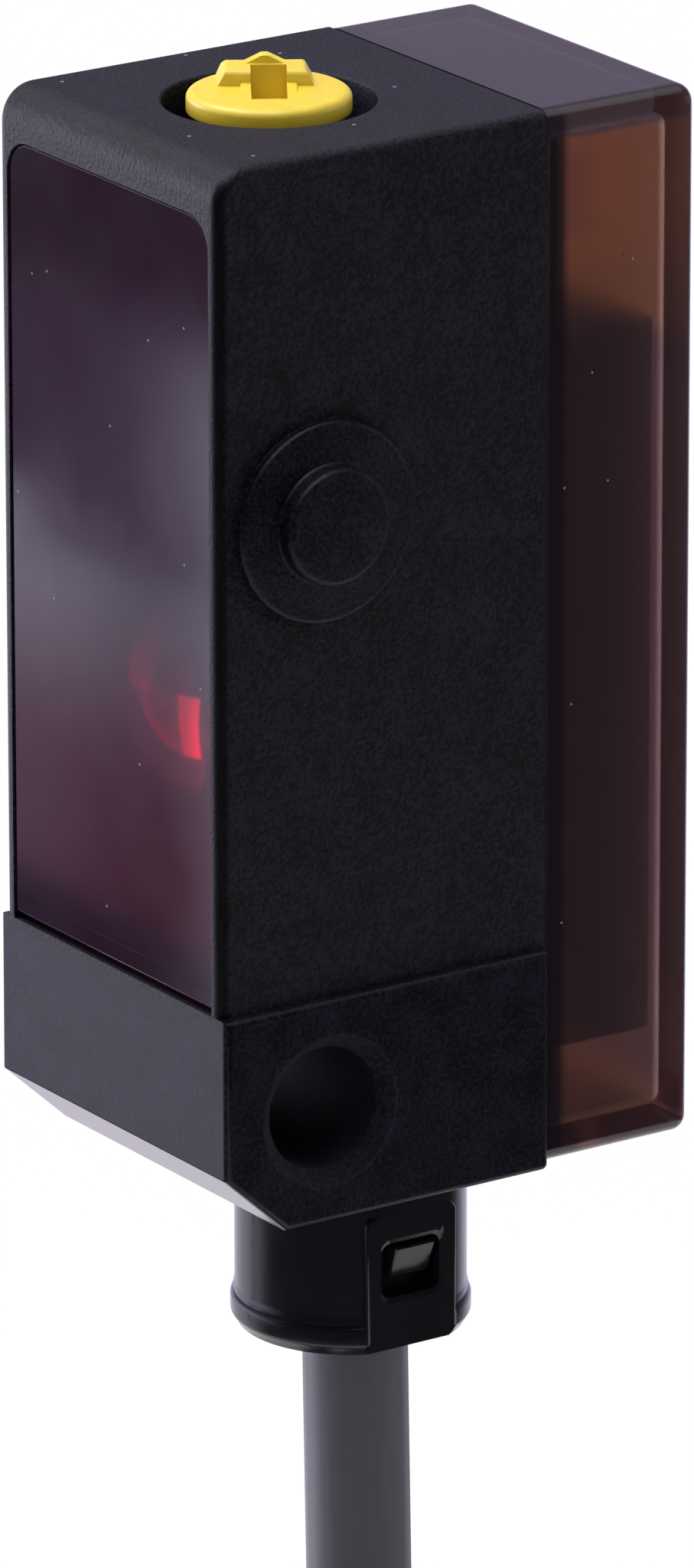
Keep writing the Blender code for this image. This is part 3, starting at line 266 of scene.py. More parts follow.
class ReceiverColours(bpy.types.PropertyGroup):
    """Colours of the finishes."""
    housing: tint("Housing", "Textured black moulding", (0.0042, 0.0032, 0.0095))
    window: tint("Window", "Smoked red plastic", (0.11, 0.024, 0.060))
    # Painted glow: the window's lower part is redder, standing in for light from the chamber behind it.
    window_painted_glow: tint("Window's lower part", "Smoked red plastic lit from inside", (0.34, 0.040, 0.085))
    cover: tint("Rear cover", "Smoked brown plastic", (0.62, 0.37, 0.235))
    cover_shadow: tint("Rear cover shadow", "Smoked plastic over the dark mass", (0.36, 0.23, 0.275))
    # Painted veil: a lighter colour where no hollow lies behind the cover's walls.
    cover_edge_painted_veil: tint("Rear cover edges", "Smoked plastic seen along a wall", (0.44, 0.35, 0.43))
    # Painted shade: the colour of the cover's faces that turn up.
    cover_roof_painted_shade: tint("Rear cover roof", "Smoked plastic seen from above", (0.055, 0.026, 0.022))
    cover_weld: tint("Rear cover weld", "Smoked plastic in the welded strip", (0.012, 0.009, 0.014))
    adjuster: tint("Adjuster", "Signal yellow moulding", (0.68, 0.50, 0.040))
    gland: tint("Gland", "Gloss black moulding", (0.008, 0.006, 0.009))
    cable: tint("Cable", "Grey sheath", (0.068, 0.062, 0.078))
    board: tint("Board", "Green solder resist", (0.02, 0.11, 0.055))
    inner: tint("Inner black", "Dull black mouldings inside", (0.018, 0.018, 0.020))
    tin: tint("Tin", "Tinned metal", (0.72, 0.72, 0.70))


class Value:
    """An output of a shader node that takes part in Python arithmetic."""

    def __init__(self, nodes, output):
        self.nodes = nodes
        self.output = output

    def __add__(self, other):
        return self.nodes.math('ADD', self, other)

    def __sub__(self, other):
        return self.nodes.math('SUBTRACT', self, other)

    def __rsub__(self, other):
        return self.nodes.math('SUBTRACT', other, self)

    def __mul__(self, other):
        return self.nodes.math('MULTIPLY', self, other)

    def __truediv__(self, other):
        return self.nodes.math('DIVIDE', self, other)

    def __rtruediv__(self, other):
        return self.nodes.math('DIVIDE', other, self)

    def __gt__(self, other):
        return self.nodes.math('GREATER_THAN', self, other)

    def __lt__(self, other):
        return self.nodes.math('LESS_THAN', self, other)

    __radd__ = __add__
    __rmul__ = __mul__


class Nodes:
    """A shader's node tree that is filled by short calls."""

    def __init__(self, tree):
        self.tree = tree

    def feed(self, socket, value):
        """Links a socket to another node's output or sets its own value."""
        if isinstance(value, Value):
            self.tree.links.new(value.output, socket)
        else:
            socket.default_value = value

    def node(self, kind, settings=None, values=None, output=0):
        """Adds a shader node with its settings first and then its sockets' values or links."""
        made = self.tree.nodes.new("ShaderNode" + kind)
        for name, value in (settings or {}).items():
            setattr(made, name, value)
        for socket, value in (values or {}).items():
            self.feed(made.inputs[socket], value)
        return Value(self, made.outputs[output])

    def math(self, operation, *numbers):
        """One Math node on one or two numbers."""
        return self.node("Math", {"operation": operation}, dict(enumerate(numbers)))

    def seen(self):
        """Whether a ray comes from the camera, from gloss or through a clear piece."""
        camera, glossy, through = (self.node("LightPath", output=kind)
                                   for kind in ("Is Camera Ray", "Is Glossy Ray", "Is Transmission Ray"))
        return self.math('MAXIMUM', self.math('MAXIMUM', camera, glossy), through)


class Finish(Nodes):
    """A procedural material around one Principled shader."""
    DUST = (0.22, 0.20, 0.24, 1.0)

    def __init__(self, name, colour, roughness, **constants):
        self.material = bpy.data.materials.new(name)
        self.material.use_nodes = True
        super().__init__(self.material.node_tree)
        self.shader = self.tree.nodes["Principled BSDF"]
        self.set(Base_Color=(*colour, 1.0), Roughness=roughness, **constants)

    def set(self, **sockets):
        """Sets or links the shader's sockets, named with _ for each space."""
        for name, value in sockets.items():
            self.feed(self.shader.inputs[name.replace("_", " ")], value)

    def place(self, scale=(1.0, 1.0, 1.0)):
        """Object coordinates, scaled along each axis."""
        return self.node("Mapping", None, {"Vector": self.node("TexCoord", output="Object"), "Scale": scale})

    def along(self, axis):
        """One of the sensor's own coordinates."""
        coordinates = self.node("TexCoord", output="Object")
        return self.node("SeparateXYZ", None, {0: coordinates}, output=axis) - ORIGIN[axis]

    def facing(self, axis):
        """How far a surface faces one way: 1 along the axis, -1 against it."""
        return self.node("SeparateXYZ", None, {0: self.node("NewGeometry", output="Normal")}, output=axis)

    def vector(self, **numbers):
        """A vector from numbers along X, Y and Z."""
        return self.node("CombineXYZ", None, numbers)

    def length(self, vector):
        """A vector's length."""
        return self.node("VectorMath", {"operation": 'LENGTH'}, {0: vector}, output="Value")

    def noise(self, scale, detail=2.0, roughness=0.5, place=None):
        """Smooth noise between 0 and 1."""
        return self.node("TexNoise", None, {
            "Vector": place or self.place(), "Scale": scale, "Detail": detail, "Roughness": roughness})

    def range(self, value, low, high, to_low=0.0, to_high=1.0):
        """Maps a value smoothly from one range to another, held at its ends."""
        return self.node("MapRange", {"interpolation_type": 'SMOOTHSTEP', "clamp": True}, {
            "Value": value, "From Min": low, "From Max": high, "To Min": to_low, "To Max": to_high})

    def between(self, value, low, high, soft):
        """1 between two limits that are soft to each side, and 0 beyond them."""
        return self.range(value, low - soft, low + soft) * self.range(value, high + soft, high - soft)

    def blend(self, factor, first, second):
        """Mixes two colours by a factor."""
        pair = [colour if isinstance(colour, Value) else (*colour, 1.0) for colour in (first, second)]
        return self.node("Mix", {"data_type": 'RGBA'}, {0: factor, 6: pair[0], 7: pair[1]}, output=2)

    def glow(self, red, green, blue):
        """Feeds the shader's emission from three numbers."""
        self.set(Emission_Color=self.node("CombineColor", None, {0: red, 1: green, 2: blue}))

    def depth(self, colour, density):
        """Makes thick walls darker than thin ones."""
        inside = self.node("VolumeAbsorption", None, {"Color": (*colour, 1.0), "Density": density})
        self.feed(self.tree.nodes["Material Output"].inputs["Volume"], inside)

    def layer(self, factor, shader):
        """Lays another shader over this one by a factor."""
        below = Value(self, self.shader.outputs[0])
        mixed = self.node("MixShader", None, {0: factor, 1: below, 2: shader})
        self.feed(self.tree.nodes["Material Output"].inputs["Surface"], mixed)

    def dust(self, scale, place, where=1.0, size=0.014):
        """Lays a few pale specks over the finish, spread over the first two axes of a place."""
        flat, values = {"voronoi_dimensions": '2D'}, {"Vector": place, "Scale": scale}
        near = self.node("TexVoronoi", flat, values)
        chance = self.node("TexVoronoi", flat, values, output="Color")
        spot = self.range(near, size, size / 2) * (chance > 0.5) * where
        self.layer(spot, self.node("BsdfDiffuse", None, {"Color": self.DUST}))

    def bump(self, height, distance):
        """Feeds the shader's normal from a height."""
        self.set(Normal=self.node("Bump", None, {"Distance": distance, "Height": height}))


def shade(colour, share):
    """A colour made lighter or darker by a share."""
    return tuple(min(channel * share, 1.0) for channel in colour)


def textured_black(scene):
    """Fine eroded texture on the upper body and a smoother foot block."""
    sizes, colour = scene.receiver_housing, scene.receiver_colours.housing
    made = Finish("textured_black", colour, 0.55, Specular_IOR_Level=0.22)
    x, y, z = (made.along(axis) for axis in (X, Y, Z))
    across = made.math('ABSOLUTE', x)
    above = made.range(z, FOOT_HEIGHT - TOUCH, FOOT_HEIGHT + SEAM)
    on_pad = made.range(across, HALF_BODY + 0.3 * SEAM, HALF_BODY + 0.6 * SEAM)
    upper = above * (1 - 0.6 * on_pad)
    chamfer = made.range(y / sizes.chamfer_depth + z / sizes.chamfer_height, 1.03, 1.01)
    mouth = sizes.fixing_radius + sizes.fixing_chamfer
    from_hole = made.length(made.vector(Y=y - sizes.fixing_y, Z=z - sizes.fixing_z))
    hole = made.range(from_hole, mouth + SEAM, mouth)
    rim = (made.range(y, sizes.edge + SEAM, sizes.edge - SEAM)
           * made.range(across, HALF_BODY - sizes.edge - SEAM, HALF_BODY - sizes.edge + SEAM) * above)
    grain = made.noise(7800.0, 2.0, 0.6)
    blotch = made.noise(900.0, 3.0, 0.55)
    mottle = made.range(grain * 0.75 + blotch * 0.25, 0.40, 0.62) * (1 - 0.7 * rim)
    made.set(Base_Color=made.blend(mottle, shade(colour, 0.2), shade(colour, 1.7)))
    rough = 0.32 + 0.22 * upper + 0.08 * blotch + 0.45 * hole
    made.set(Roughness=rough * (1 - 0.6 * chamfer) * (1 - 0.35 * rim))
    made.bump(grain * (0.10 + 0.90 * upper) * (1 - chamfer) * (1 - 0.9 * rim), 0.000040)
    made.dust(420.0, made.vector(X=x, Y=y), made.range(made.facing(Z), 0.7, 0.95), 0.030)
    return made


def smoked_red(scene):
    """Polished smoked red plastic with a painted red glow over the lit chamber, and a few specks of dust."""
    sizes, colours = scene.receiver_housing, scene.receiver_colours
    made = Finish("smoked_red", colours.window, 0.06, Transmission_Weight=1.0, IOR=1.49)
    height, fade, start = made.along(Z), 0.0025, 0.0008
    # Painted glow: the base colour turns redder between the lit heights, standing in for light from the
    # chamber behind the pane.
    low = (made.range(height, sizes.lit_top + fade, sizes.lit_top - fade)
           * made.range(height, sizes.lit_foot - start, sizes.lit_foot + start))
    made.set(Base_Color=made.blend(low, colours.window, colours.window_painted_glow))
    made.set(Roughness=0.04 + 0.05 * made.noise(500.0))
    made.dust(290.0, made.vector(X=made.along(X), Y=height))
    return made


def smoked_brown(scene):
    """Smoked brown plastic, polished outside and frosted inside, with a dark welded strip, a painted shadow
    over the parts behind it, a lighter painted veil along its edges and painted shade at its top.
    """
    sizes, colours = scene.receiver_cover, scene.receiver_colours
    made = Finish("smoked_brown", colours.cover, 0.12, Transmission_Weight=1.0, IOR=1.49, Sheen_Weight=0.08,
                  Sheen_Roughness=0.6, Sheen_Tint=(0.74, 0.50, 0.74, 1.0))
    across, behind, height = made.math('ABSOLUTE', made.along(X)), made.along(Y), made.along(Z)
    inside = ((across < HALF_BODY - sizes.wall / 2) * (behind < COVER[1].y - sizes.back_wall / 2)
              * (height < BODY_HEIGHT - sizes.wall / 2) * (height > COVER[0].z + sizes.wall / 2))
    cloud = made.noise(260.0, 3.0)
    made.set(Roughness=0.12 + 0.08 * cloud + 0.42 * inside)

    # The hollow shows darker where the parts behind the cover block the light
    top, foot, back = BODY_HEIGHT - sizes.wall, COVER[0].z + sizes.wall, COVER[1].y - 0.45 * sizes.back_wall
    rear, roof = (made.range(made.facing(axis), 0.6, 0.95) for axis in (Y, Z))
    hollow = (made.range(height, top + SEAM, top - SEAT) * made.range(height, foot - SEAM, foot + SEAT)
              * (rear + (1 - rear) * made.range(behind, back + SEAM, back - SEAT)))
    step, top_slope, foot_slope, soft = behind - BODY_DEPTH, 0.41, 0.80, 0.0005
    over = made.range(height + top_slope * step, sizes.dark_top + soft, sizes.dark_top - soft)
    under = made.range(height + foot_slope * step, sizes.dark_foot - 2 * soft, sizes.dark_foot + 2 * soft)
    notch = (made.range(step, sizes.notch_depth + soft, sizes.notch_depth - soft)
             * made.between(height, sizes.notch_foot, sizes.notch_top, soft))
    shadow = over * under * (0.72 + 0.28 * cloud) + 0.55 * notch
    # Painted light: where no hollow lies behind them, the walls take a lighter painted veil.
    walls = made.blend(hollow, colours.cover_edge_painted_veil, made.blend(shadow, colours.cover, colours.cover_shadow))
    # Painted shade: the walls above the hollow's top take a darker copy of the edge colour.
    walls = made.blend(made.range(height, top - SEAM, top + SEAM), walls, shade(colours.cover_edge_painted_veil, 0.42))
    # Painted shade: faces that turn up are darker.
    walls = made.blend(roof, walls, colours.cover_roof_painted_shade)
    weld = made.range(step, sizes.weld + SEAT, sizes.weld - SEAT)
    made.set(Base_Color=made.blend(weld, walls, colours.cover_weld))
    made.bump(made.noise(3000.0), 0.000004)
    made.depth((0.30, 0.12, 0.08), 420.0)
    made.dust(330.0, made.vector(X=behind, Y=height), 1 - roof)
    return made


def gloss_black(scene):
    """Polished black moulding."""
    made = Finish("gloss_black", scene.receiver_colours.gland, 0.16)
    made.set(Roughness=0.12 + 0.12 * made.noise(900.0, 3.0))
    made.bump(made.noise(2600.0), 0.000003)
    return made


def signal_yellow(scene):
    """Satin yellow moulding."""
    colour = scene.receiver_colours.adjuster
    made = Finish("signal_yellow", colour, 0.38)
    mottle = made.noise(1600.0, 3.0)
    made.set(Base_Color=made.blend(mottle, shade(colour, 0.88), shade(colour, 1.1)))
    made.set(Roughness=0.32 + 0.14 * mottle)
    made.bump(made.noise(6000.0), 0.000006)
    return made


def grey_sheath(scene):
    """Extruded sheath with faint lines along it."""
    colour = scene.receiver_colours.cable
    made = Finish("grey_sheath", colour, 0.5)
    lines = made.noise(1.0, place=made.place((5200.0, 5200.0, 260.0)))
    grain = made.noise(6500.0)
    made.set(Base_Color=made.blend(lines, shade(colour, 0.86), shade(colour, 1.14)))
    made.set(Roughness=0.42 + 0.16 * grain)
    made.bump(lines * 0.5 + grain * 0.5, 0.000008)
    return made


def ribbed_strap(scene):
    """Black nylon with the fine ribs of a cable tie."""
    colour, pitch = scene.receiver_colours.inner, 0.0009
    made = Finish("ribbed_strap", shade(colour, 0.8), 0.38)
    ribs = made.math('SINE', made.along(Y) * (2 * math.pi / pitch))
    grain = made.noise(5200.0)
    made.set(Base_Color=made.blend(grain, shade(colour, 0.6), shade(colour, 1.0)))
    made.set(Roughness=0.34 + 0.14 * grain)
    made.bump(made.range(ribs, -0.6, 0.6) + 0.2 * grain, 0.00006)
    return made


def dull_black(scene):
    """Dull black moulding inside the housing."""
    made = Finish("dull_black", scene.receiver_colours.inner, 0.7, Specular_IOR_Level=0.2)
    grain = made.noise(5200.0)
    made.set(Roughness=0.55 + 0.25 * grain)
    made.bump(grain, 0.000012)
    return made


def rubber(scene):
    """Moulded rubber."""
    made = Finish("rubber", shade(scene.receiver_colours.inner, 1.1), 0.85)
    grain = made.noise(4200.0, 3.0)
    made.set(Roughness=0.75 + 0.2 * grain)
    made.bump(grain, 0.00001)
    return made


def solder_resist(scene):
    """Green board with traces under the resist."""
    colour = scene.receiver_colours.board
    made = Finish("solder_resist", colour, 0.4)
    lines = made.node("TexVoronoi", {"feature": 'DISTANCE_TO_EDGE'}, {"Vector": made.place(), "Scale": 900.0})
    trace = made.range(lines, 0.05, 0.09)
    made.set(Base_Color=made.blend(trace, shade(colour, 1.9), colour))
    made.set(Roughness=0.30 + 0.15 * made.noise(2500.0))
    made.bump(1 - trace, 0.000018)
    return made


def tinned(scene):
    """Tinned sheet and wire."""
    colour = scene.receiver_colours.tin
    made = Finish("tinned", colour, 0.28, Metallic=1.0)
    brushed = made.noise(1.0, 3.0, 0.6, made.place((1400.0, 1400.0, 9000.0)))
    made.set(Roughness=0.18 + 0.24 * brushed)
    made.set(Base_Color=made.blend(made.noise(700.0, 3.0), shade(colour, 0.8), colour))
    made.bump(brushed, 0.000004)
    return made


def moulded(name, colour, roughness):
    """A small moulded or fired piece with a faint grain."""
    made = Finish(name, colour, roughness)
    grain = made.noise(5600.0)
    made.set(Base_Color=made.blend(grain, shade(colour, 0.82), shade(colour, 1.15)))
    made.set(Roughness=roughness - 0.08 + 0.16 * grain)
    made.bump(grain, 0.000008)
    return made


def painted_glow_lens():
    """Red lens with a painted glow that it emits though it is no lamp: a bright strip beside its edge and a
    faint quarter of its disc, in millimetres.
    """
    made = Finish("painted_glow_lens", (0.30, 0.02, 0.03), 0.08, Transmission_Weight=0.6, IOR=1.49,
                  Emission_Strength=8.0)
    across, height = made.along(X) * 1000, made.along(Z) * 1000
    right, top, wide, tall, lean = 2.20, 15.22, 2.5, 1.88, 0.10
    side, drop = (across - right) / wide, (height - top) / tall
    from_corner = side * side + drop * drop
    # Painted glow: the faint quarter of the disc and the bright strip emit light.
    quarter = made.range(from_corner, 1.15, 0.85) * (0.018 + 0.024 * made.range(from_corner, 0.55, 0.95))
    lower_left = made.range(across, right + 0.05, right - 0.05) * made.range(height, top + 0.08, top - 0.08)
    slant = across + lean * height
    strip = made.range(height, top - tall, top - tall + 0.15) * made.range(slant, right + 0.64, right + 0.86)
    level = lower_left * (quarter + strip * (0.12 + 0.18 * made.range(across, 1.7, 2.2)))
    made.glow(level, 0.06 * level, 0.08 * level)
    return made


def clear(name, colour):
    """Polished see-through plastic."""
    made = Finish(name, colour, 0.04, Transmission_Weight=1.0, IOR=1.49)
    made.set(Roughness=0.04 + 0.04 * made.noise(800.0))
    return made


def both(half, middle=0.0):
    """The two limits that lie equally far to each side of a middle."""
    return middle - half, middle + half


def block(x, y, z):
    """A box between three pairs of limits."""
    bm = bmesh.new()
    bmesh.ops.create_cube(bm, size=1.0)
    size = Vector((x[1] - x[0], y[1] - y[0], z[1] - z[0]))
    middle = Vector((x[0] + x[1], y[0] + y[1], z[0] + z[1])) / 2
    bmesh.ops.scale(bm, vec=size, verts=bm.verts)
    bmesh.ops.translate(bm, vec=middle, verts=bm.verts)
    return bm


def on_plane(edge, axis, value):
    """Whether both ends of an edge lie at one coordinate."""
    return all(abs(vert.co[axis] - value) < 1e-6 for vert in edge.verts)


def on_side(edge, half):
    """Whether an edge lies in one of the two sides of a box."""
    return on_plane(edge, X, half) or on_plane(edge, X, -half)


def runs_along(edge, axis):
    """Whether an edge runs along one axis."""
    way = edge.verts[1].co - edge.verts[0].co
    return abs(way[axis]) > 0.99 * way.length


def round_edges(bm, picked, radius, segments):
    """Rounds or chamfers the edges that the test picks."""
    edges = [edge for edge in bm.edges if picked(edge)]
    bmesh.ops.bevel(bm, geom=edges, offset=radius, segments=segments, profile=0.5, affect='EDGES',
                    clamp_overlap=True, material=-1)


def arc(centre, radius, start, end, segments):
    """Points along an arc, with angles in degrees."""
    points = []
    for step in range(segments + 1):
        angle = math.radians(start + (end - start) * step / segments)
        points.append((centre[0] + radius * math.cos(angle), centre[1] + radius * math.sin(angle)))
    return points


def turned(profile, place, across=0, closed=False, steps=96):
    """Spins radius and height pairs into a solid that stands upright or points along +X or -X."""
    bm = bmesh.new()
    verts = [bm.verts.new((radius, 0.0, height)) for radius, height in profile]
    edges = [bm.edges.new(pair) for pair in zip(verts, verts[1:])]
    if closed:
        edges.append(bm.edges.new((verts[-1], verts[0])))
    bmesh.ops.spin(bm, geom=verts + edges, cent=(0.0, 0.0, 0.0), axis=(0.0, 0.0, 1.0), dvec=(0.0, 0.0, 0.0),
                   angle=2 * math.pi, steps=steps, use_merge=True, use_duplicate=False)
    bmesh.ops.remove_doubles(bm, verts=bm.verts, dist=1e-7)
    bmesh.ops.recalc_face_normals(bm, faces=bm.faces)
    turn = Matrix.Rotation(math.pi / 2, 4, 'Y') if across else Matrix.Identity(4)
    if across < 0:
        turn = Matrix.Rotation(math.pi, 4, 'Z') @ turn
    bmesh.ops.transform(bm, matrix=Matrix.Translation(place) @ turn, verts=bm.verts)
    return bm


def placed(name, bm, finish=None):
    """A linked object with a bmesh's shape."""
    mesh = bpy.data.meshes.new(name)
    bm.to_mesh(mesh)
    bm.free()
    if finish:
        mesh.materials.append(finish.material)
    made = bpy.data.objects.new(name, mesh)
    bpy.context.scene.collection.objects.link(made)
    return made


def combined(base, *changes):
    """A bmesh after exact unions and cuts, each an operation and another bmesh."""
    target = placed("target", base)
    tools = []
    for operation, other in changes:
        tools.append(placed("tool", other))
        modifier = target.modifiers.new(operation.lower(), 'BOOLEAN')
        modifier.operation = operation
        modifier.solver = 'EXACT'
        modifier.object = tools[-1]
    result = bmesh.new()
    result.from_mesh(target.evaluated_get(bpy.context.evaluated_depsgraph_get()).to_mesh())
    for used in tools + [target]:
        mesh = used.data
        bpy.data.objects.remove(used, do_unlink=True)
        bpy.data.meshes.remove(mesh)
    bmesh.ops.remove_doubles(result, verts=result.verts, dist=2e-7)
    return result


def piece(name, node, bm, finish, body="sensor"):
    """Moves a bmesh from the sensor's own coordinates to the frame, as a piece that stands for a node."""
    bmesh.ops.translate(bm, vec=ORIGIN, verts=bm.verts)
    for face in bm.faces:
        face.smooth = True
    made = placed(name, bm, finish)
    made.data.set_sharp_from_angle(angle=math.radians(30.0))
    made.modifiers.new("normals", 'WEIGHTED_NORMAL').keep_sharp = True
    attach(made, body)
    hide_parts(node)
    return made


def dress(node, finish):
    """Gives a carried-over node its finish."""
    owner = frame["nodes"][node]
    if not owner.material_slots:
        owner.data.materials.append(finish.material)
    for slot in owner.material_slots:
        slot.material = finish.material


def window_recess(sizes, deep):
    """A cutter for the window's recess, with its upper corners rounded."""
    recess = block(both(HALF_BODY - sizes.window_lip), both(deep), (FOOT_HEIGHT, WINDOW_TOP))
    round_edges(recess, lambda e: on_plane(e, Z, WINDOW_TOP) and runs_along(e, Y), sizes.window_corner, 8)
    return recess


def stud_solid(sizes, side):
    """A round pad with its stud, pointing out of one side of the housing."""
    pad = HOUSING[1].x - sizes.stud_height - HALF_BODY
    top = pad + sizes.stud_height
    over = sizes.stud_height / 3
    profile = [(0.0, top)]
    profile += arc((sizes.stud_radius - over, top - over), over, 90, 0, 5)
    profile += arc((sizes.stud_radius + SEAM, pad + SEAM), SEAM, 180, 270, 3)
    profile += arc((sizes.pad_radius - pad / 2, pad / 2), pad / 2, 90, 0, 5)
    profile += [(sizes.pad_radius, -pad), (0.0, -pad)]
    return turned(profile, (side * HALF_BODY, sizes.fixing_y, BODY_HEIGHT * sizes.stud_share), side)


def housing_solid(scene):
    """The housing as one solid: upper body, foot block, rim, studs, recesses and bores."""
    sizes = scene.receiver_housing
    half_foot = HOUSING[1].x - sizes.stud_height
    overlap = FOOT_HEIGHT - sizes.chamfer_height / 2
    upper = block(both(HALF_BODY), (0.0, BODY_DEPTH), (overlap, BODY_HEIGHT))
    round_edges(upper, lambda e: on_plane(e, Y, 0.0) and on_plane(e, Z, BODY_HEIGHT), sizes.top_front, 12)
    round_edges(upper, lambda e: on_side(e, HALF_BODY) and not on_plane(e, Y, BODY_DEPTH)
                and not on_plane(e, Z, overlap), sizes.edge, 6)

    foot = block(both(half_foot), (0.0, BODY_DEPTH), (0.0, FOOT_HEIGHT))
    round_edges(foot, lambda e: on_plane(e, Y, 0.0) and on_plane(e, Z, 0.0), sizes.chamfer_depth, 1)
    for vert in foot.verts:
        if abs(vert.co.y) < SEAM and abs(vert.co.z - sizes.chamfer_depth) < SEAM:
            vert.co.z = sizes.chamfer_height
    round_edges(foot, lambda e: on_side(e, half_foot) or on_plane(e, Y, BODY_DEPTH) and on_plane(e, Z, 0.0),
                sizes.foot_edge, 5)

    half_cavity = sizes.cavity_width / 2
    half_rim = half_cavity + sizes.rim_wall
    inset = HALF_BODY - half_rim
    rim = block(both(half_rim), both(sizes.rim_length, BODY_DEPTH), (COVER[0].z + inset, BODY_HEIGHT - inset))

    recess = window_recess(sizes, sizes.window_depth)
    cut = sizes.window_chamfer
    flare = window_recess(sizes, cut)
    for vert in flare.verts:
        if vert.co.y < 0.0:
            vert.co.x *= 1 + 2 * cut / (HALF_BODY - sizes.window_lip)
            vert.co.z = FOOT_HEIGHT + (vert.co.z - FOOT_HEIGHT) * (1 + 2 * cut / (WINDOW_TOP - FOOT_HEIGHT))

    cavity_top = BODY_HEIGHT - sizes.top_wall
    back = BODY_DEPTH + 2 * sizes.rim_length
    cavity = block(both(half_cavity), (sizes.window_depth / 2, back), (sizes.cavity_floor, cavity_top))
    pocket = block(both(half_cavity), (BODY_DEPTH - sizes.pocket_depth, back),
                   (sizes.pocket_floor, sizes.cavity_floor + TOUCH))

    over, floor = BODY_HEIGHT + sizes.well_depth, BODY_HEIGHT - sizes.well_depth
    shaft = scene.receiver_adjuster.shaft_radius + RUNNING
    well = [(0.0, over), (sizes.well_radius + SEAM, over)]
    well += arc((sizes.well_radius + SEAM, BODY_HEIGHT - SEAM), SEAM, 90, 180, 4)
    well += [(sizes.well_radius, floor), (shaft, floor), (shaft, cavity_top - TOUCH),
             (0.0, cavity_top - TOUCH)]
    outside, throat = half_foot + sizes.fixing_chamfer, half_foot - sizes.fixing_chamfer
    wide = sizes.fixing_radius + 2 * sizes.fixing_chamfer
    hole = [(0.0, outside), (wide, outside), (sizes.fixing_radius, throat), (sizes.fixing_radius, -throat),
            (wide, -outside), (0.0, -outside)]
    bore, bore_top = scene.receiver_gland.spigot_radius + SEAT, sizes.cavity_floor + TOUCH
    spigot = [(0.0, bore_top), (bore, bore_top), (bore, -TOUCH), (0.0, -TOUCH)]
    cutters = (recess, flare, cavity, pocket, turned(well, (0.0, AXIS.y, 0.0), steps=128),
               turned(hole, (0.0, sizes.fixing_y, sizes.fixing_z), 1), turned(spigot, (0.0, GLAND_Y, 0.0)))
    return combined(upper, ('UNION', foot), ('UNION', rim), ('UNION', stud_solid(sizes, -1)),
                    ('UNION', stud_solid(sizes, 1)), *(('DIFFERENCE', cutter) for cutter in cutters))


def cover_solid(scene):
    """The cover's shell, open to the front."""
    sizes = scene.receiver_cover
    low, back = COVER[0], COVER[1].y
    shell = block(both(HALF_BODY), (low.y, back), (low.z, BODY_HEIGHT))
    for height, radius in ((BODY_HEIGHT, sizes.top_corner), (low.z, sizes.foot_corner)):
        round_edges(shell, lambda e: runs_along(e, Y) and on_plane(e, Z, height), radius, 6)
    round_edges(shell, lambda e: on_plane(e, Y, back), sizes.rear_round, 8)
    inner_back = back - sizes.back_wall
    hollow = block(both(HALF_BODY - sizes.wall), (low.y - TOUCH, inner_back),
                   (low.z + sizes.wall, BODY_HEIGHT - sizes.wall))
    round_edges(hollow, lambda e: runs_along(e, Y), sizes.inner_round, 6)
    round_edges(hollow, lambda e: on_plane(e, Y, inner_back), sizes.inner_round, 6)
    return combined(shell, ('DIFFERENCE', hollow))


def window_solid(scene):
    """The pane, with its upper corners and front edges rounded."""
    sizes = scene.receiver_housing
    top = WINDOW_TOP - sizes.window_gap
    pane = block(both(HALF_BODY - sizes.window_lip - sizes.window_gap), (WINDOW[0].y, WINDOW[1].y),
                 (WINDOW[0].z, top))
    corner = sizes.window_corner - sizes.window_gap
    round_edges(pane, lambda e: on_plane(e, Z, top) and runs_along(e, Y), corner, 8)
    round_edges(pane, lambda e: on_plane(e, Y, WINDOW[0].y), 0.7 * SEAM, 3)
    return pane


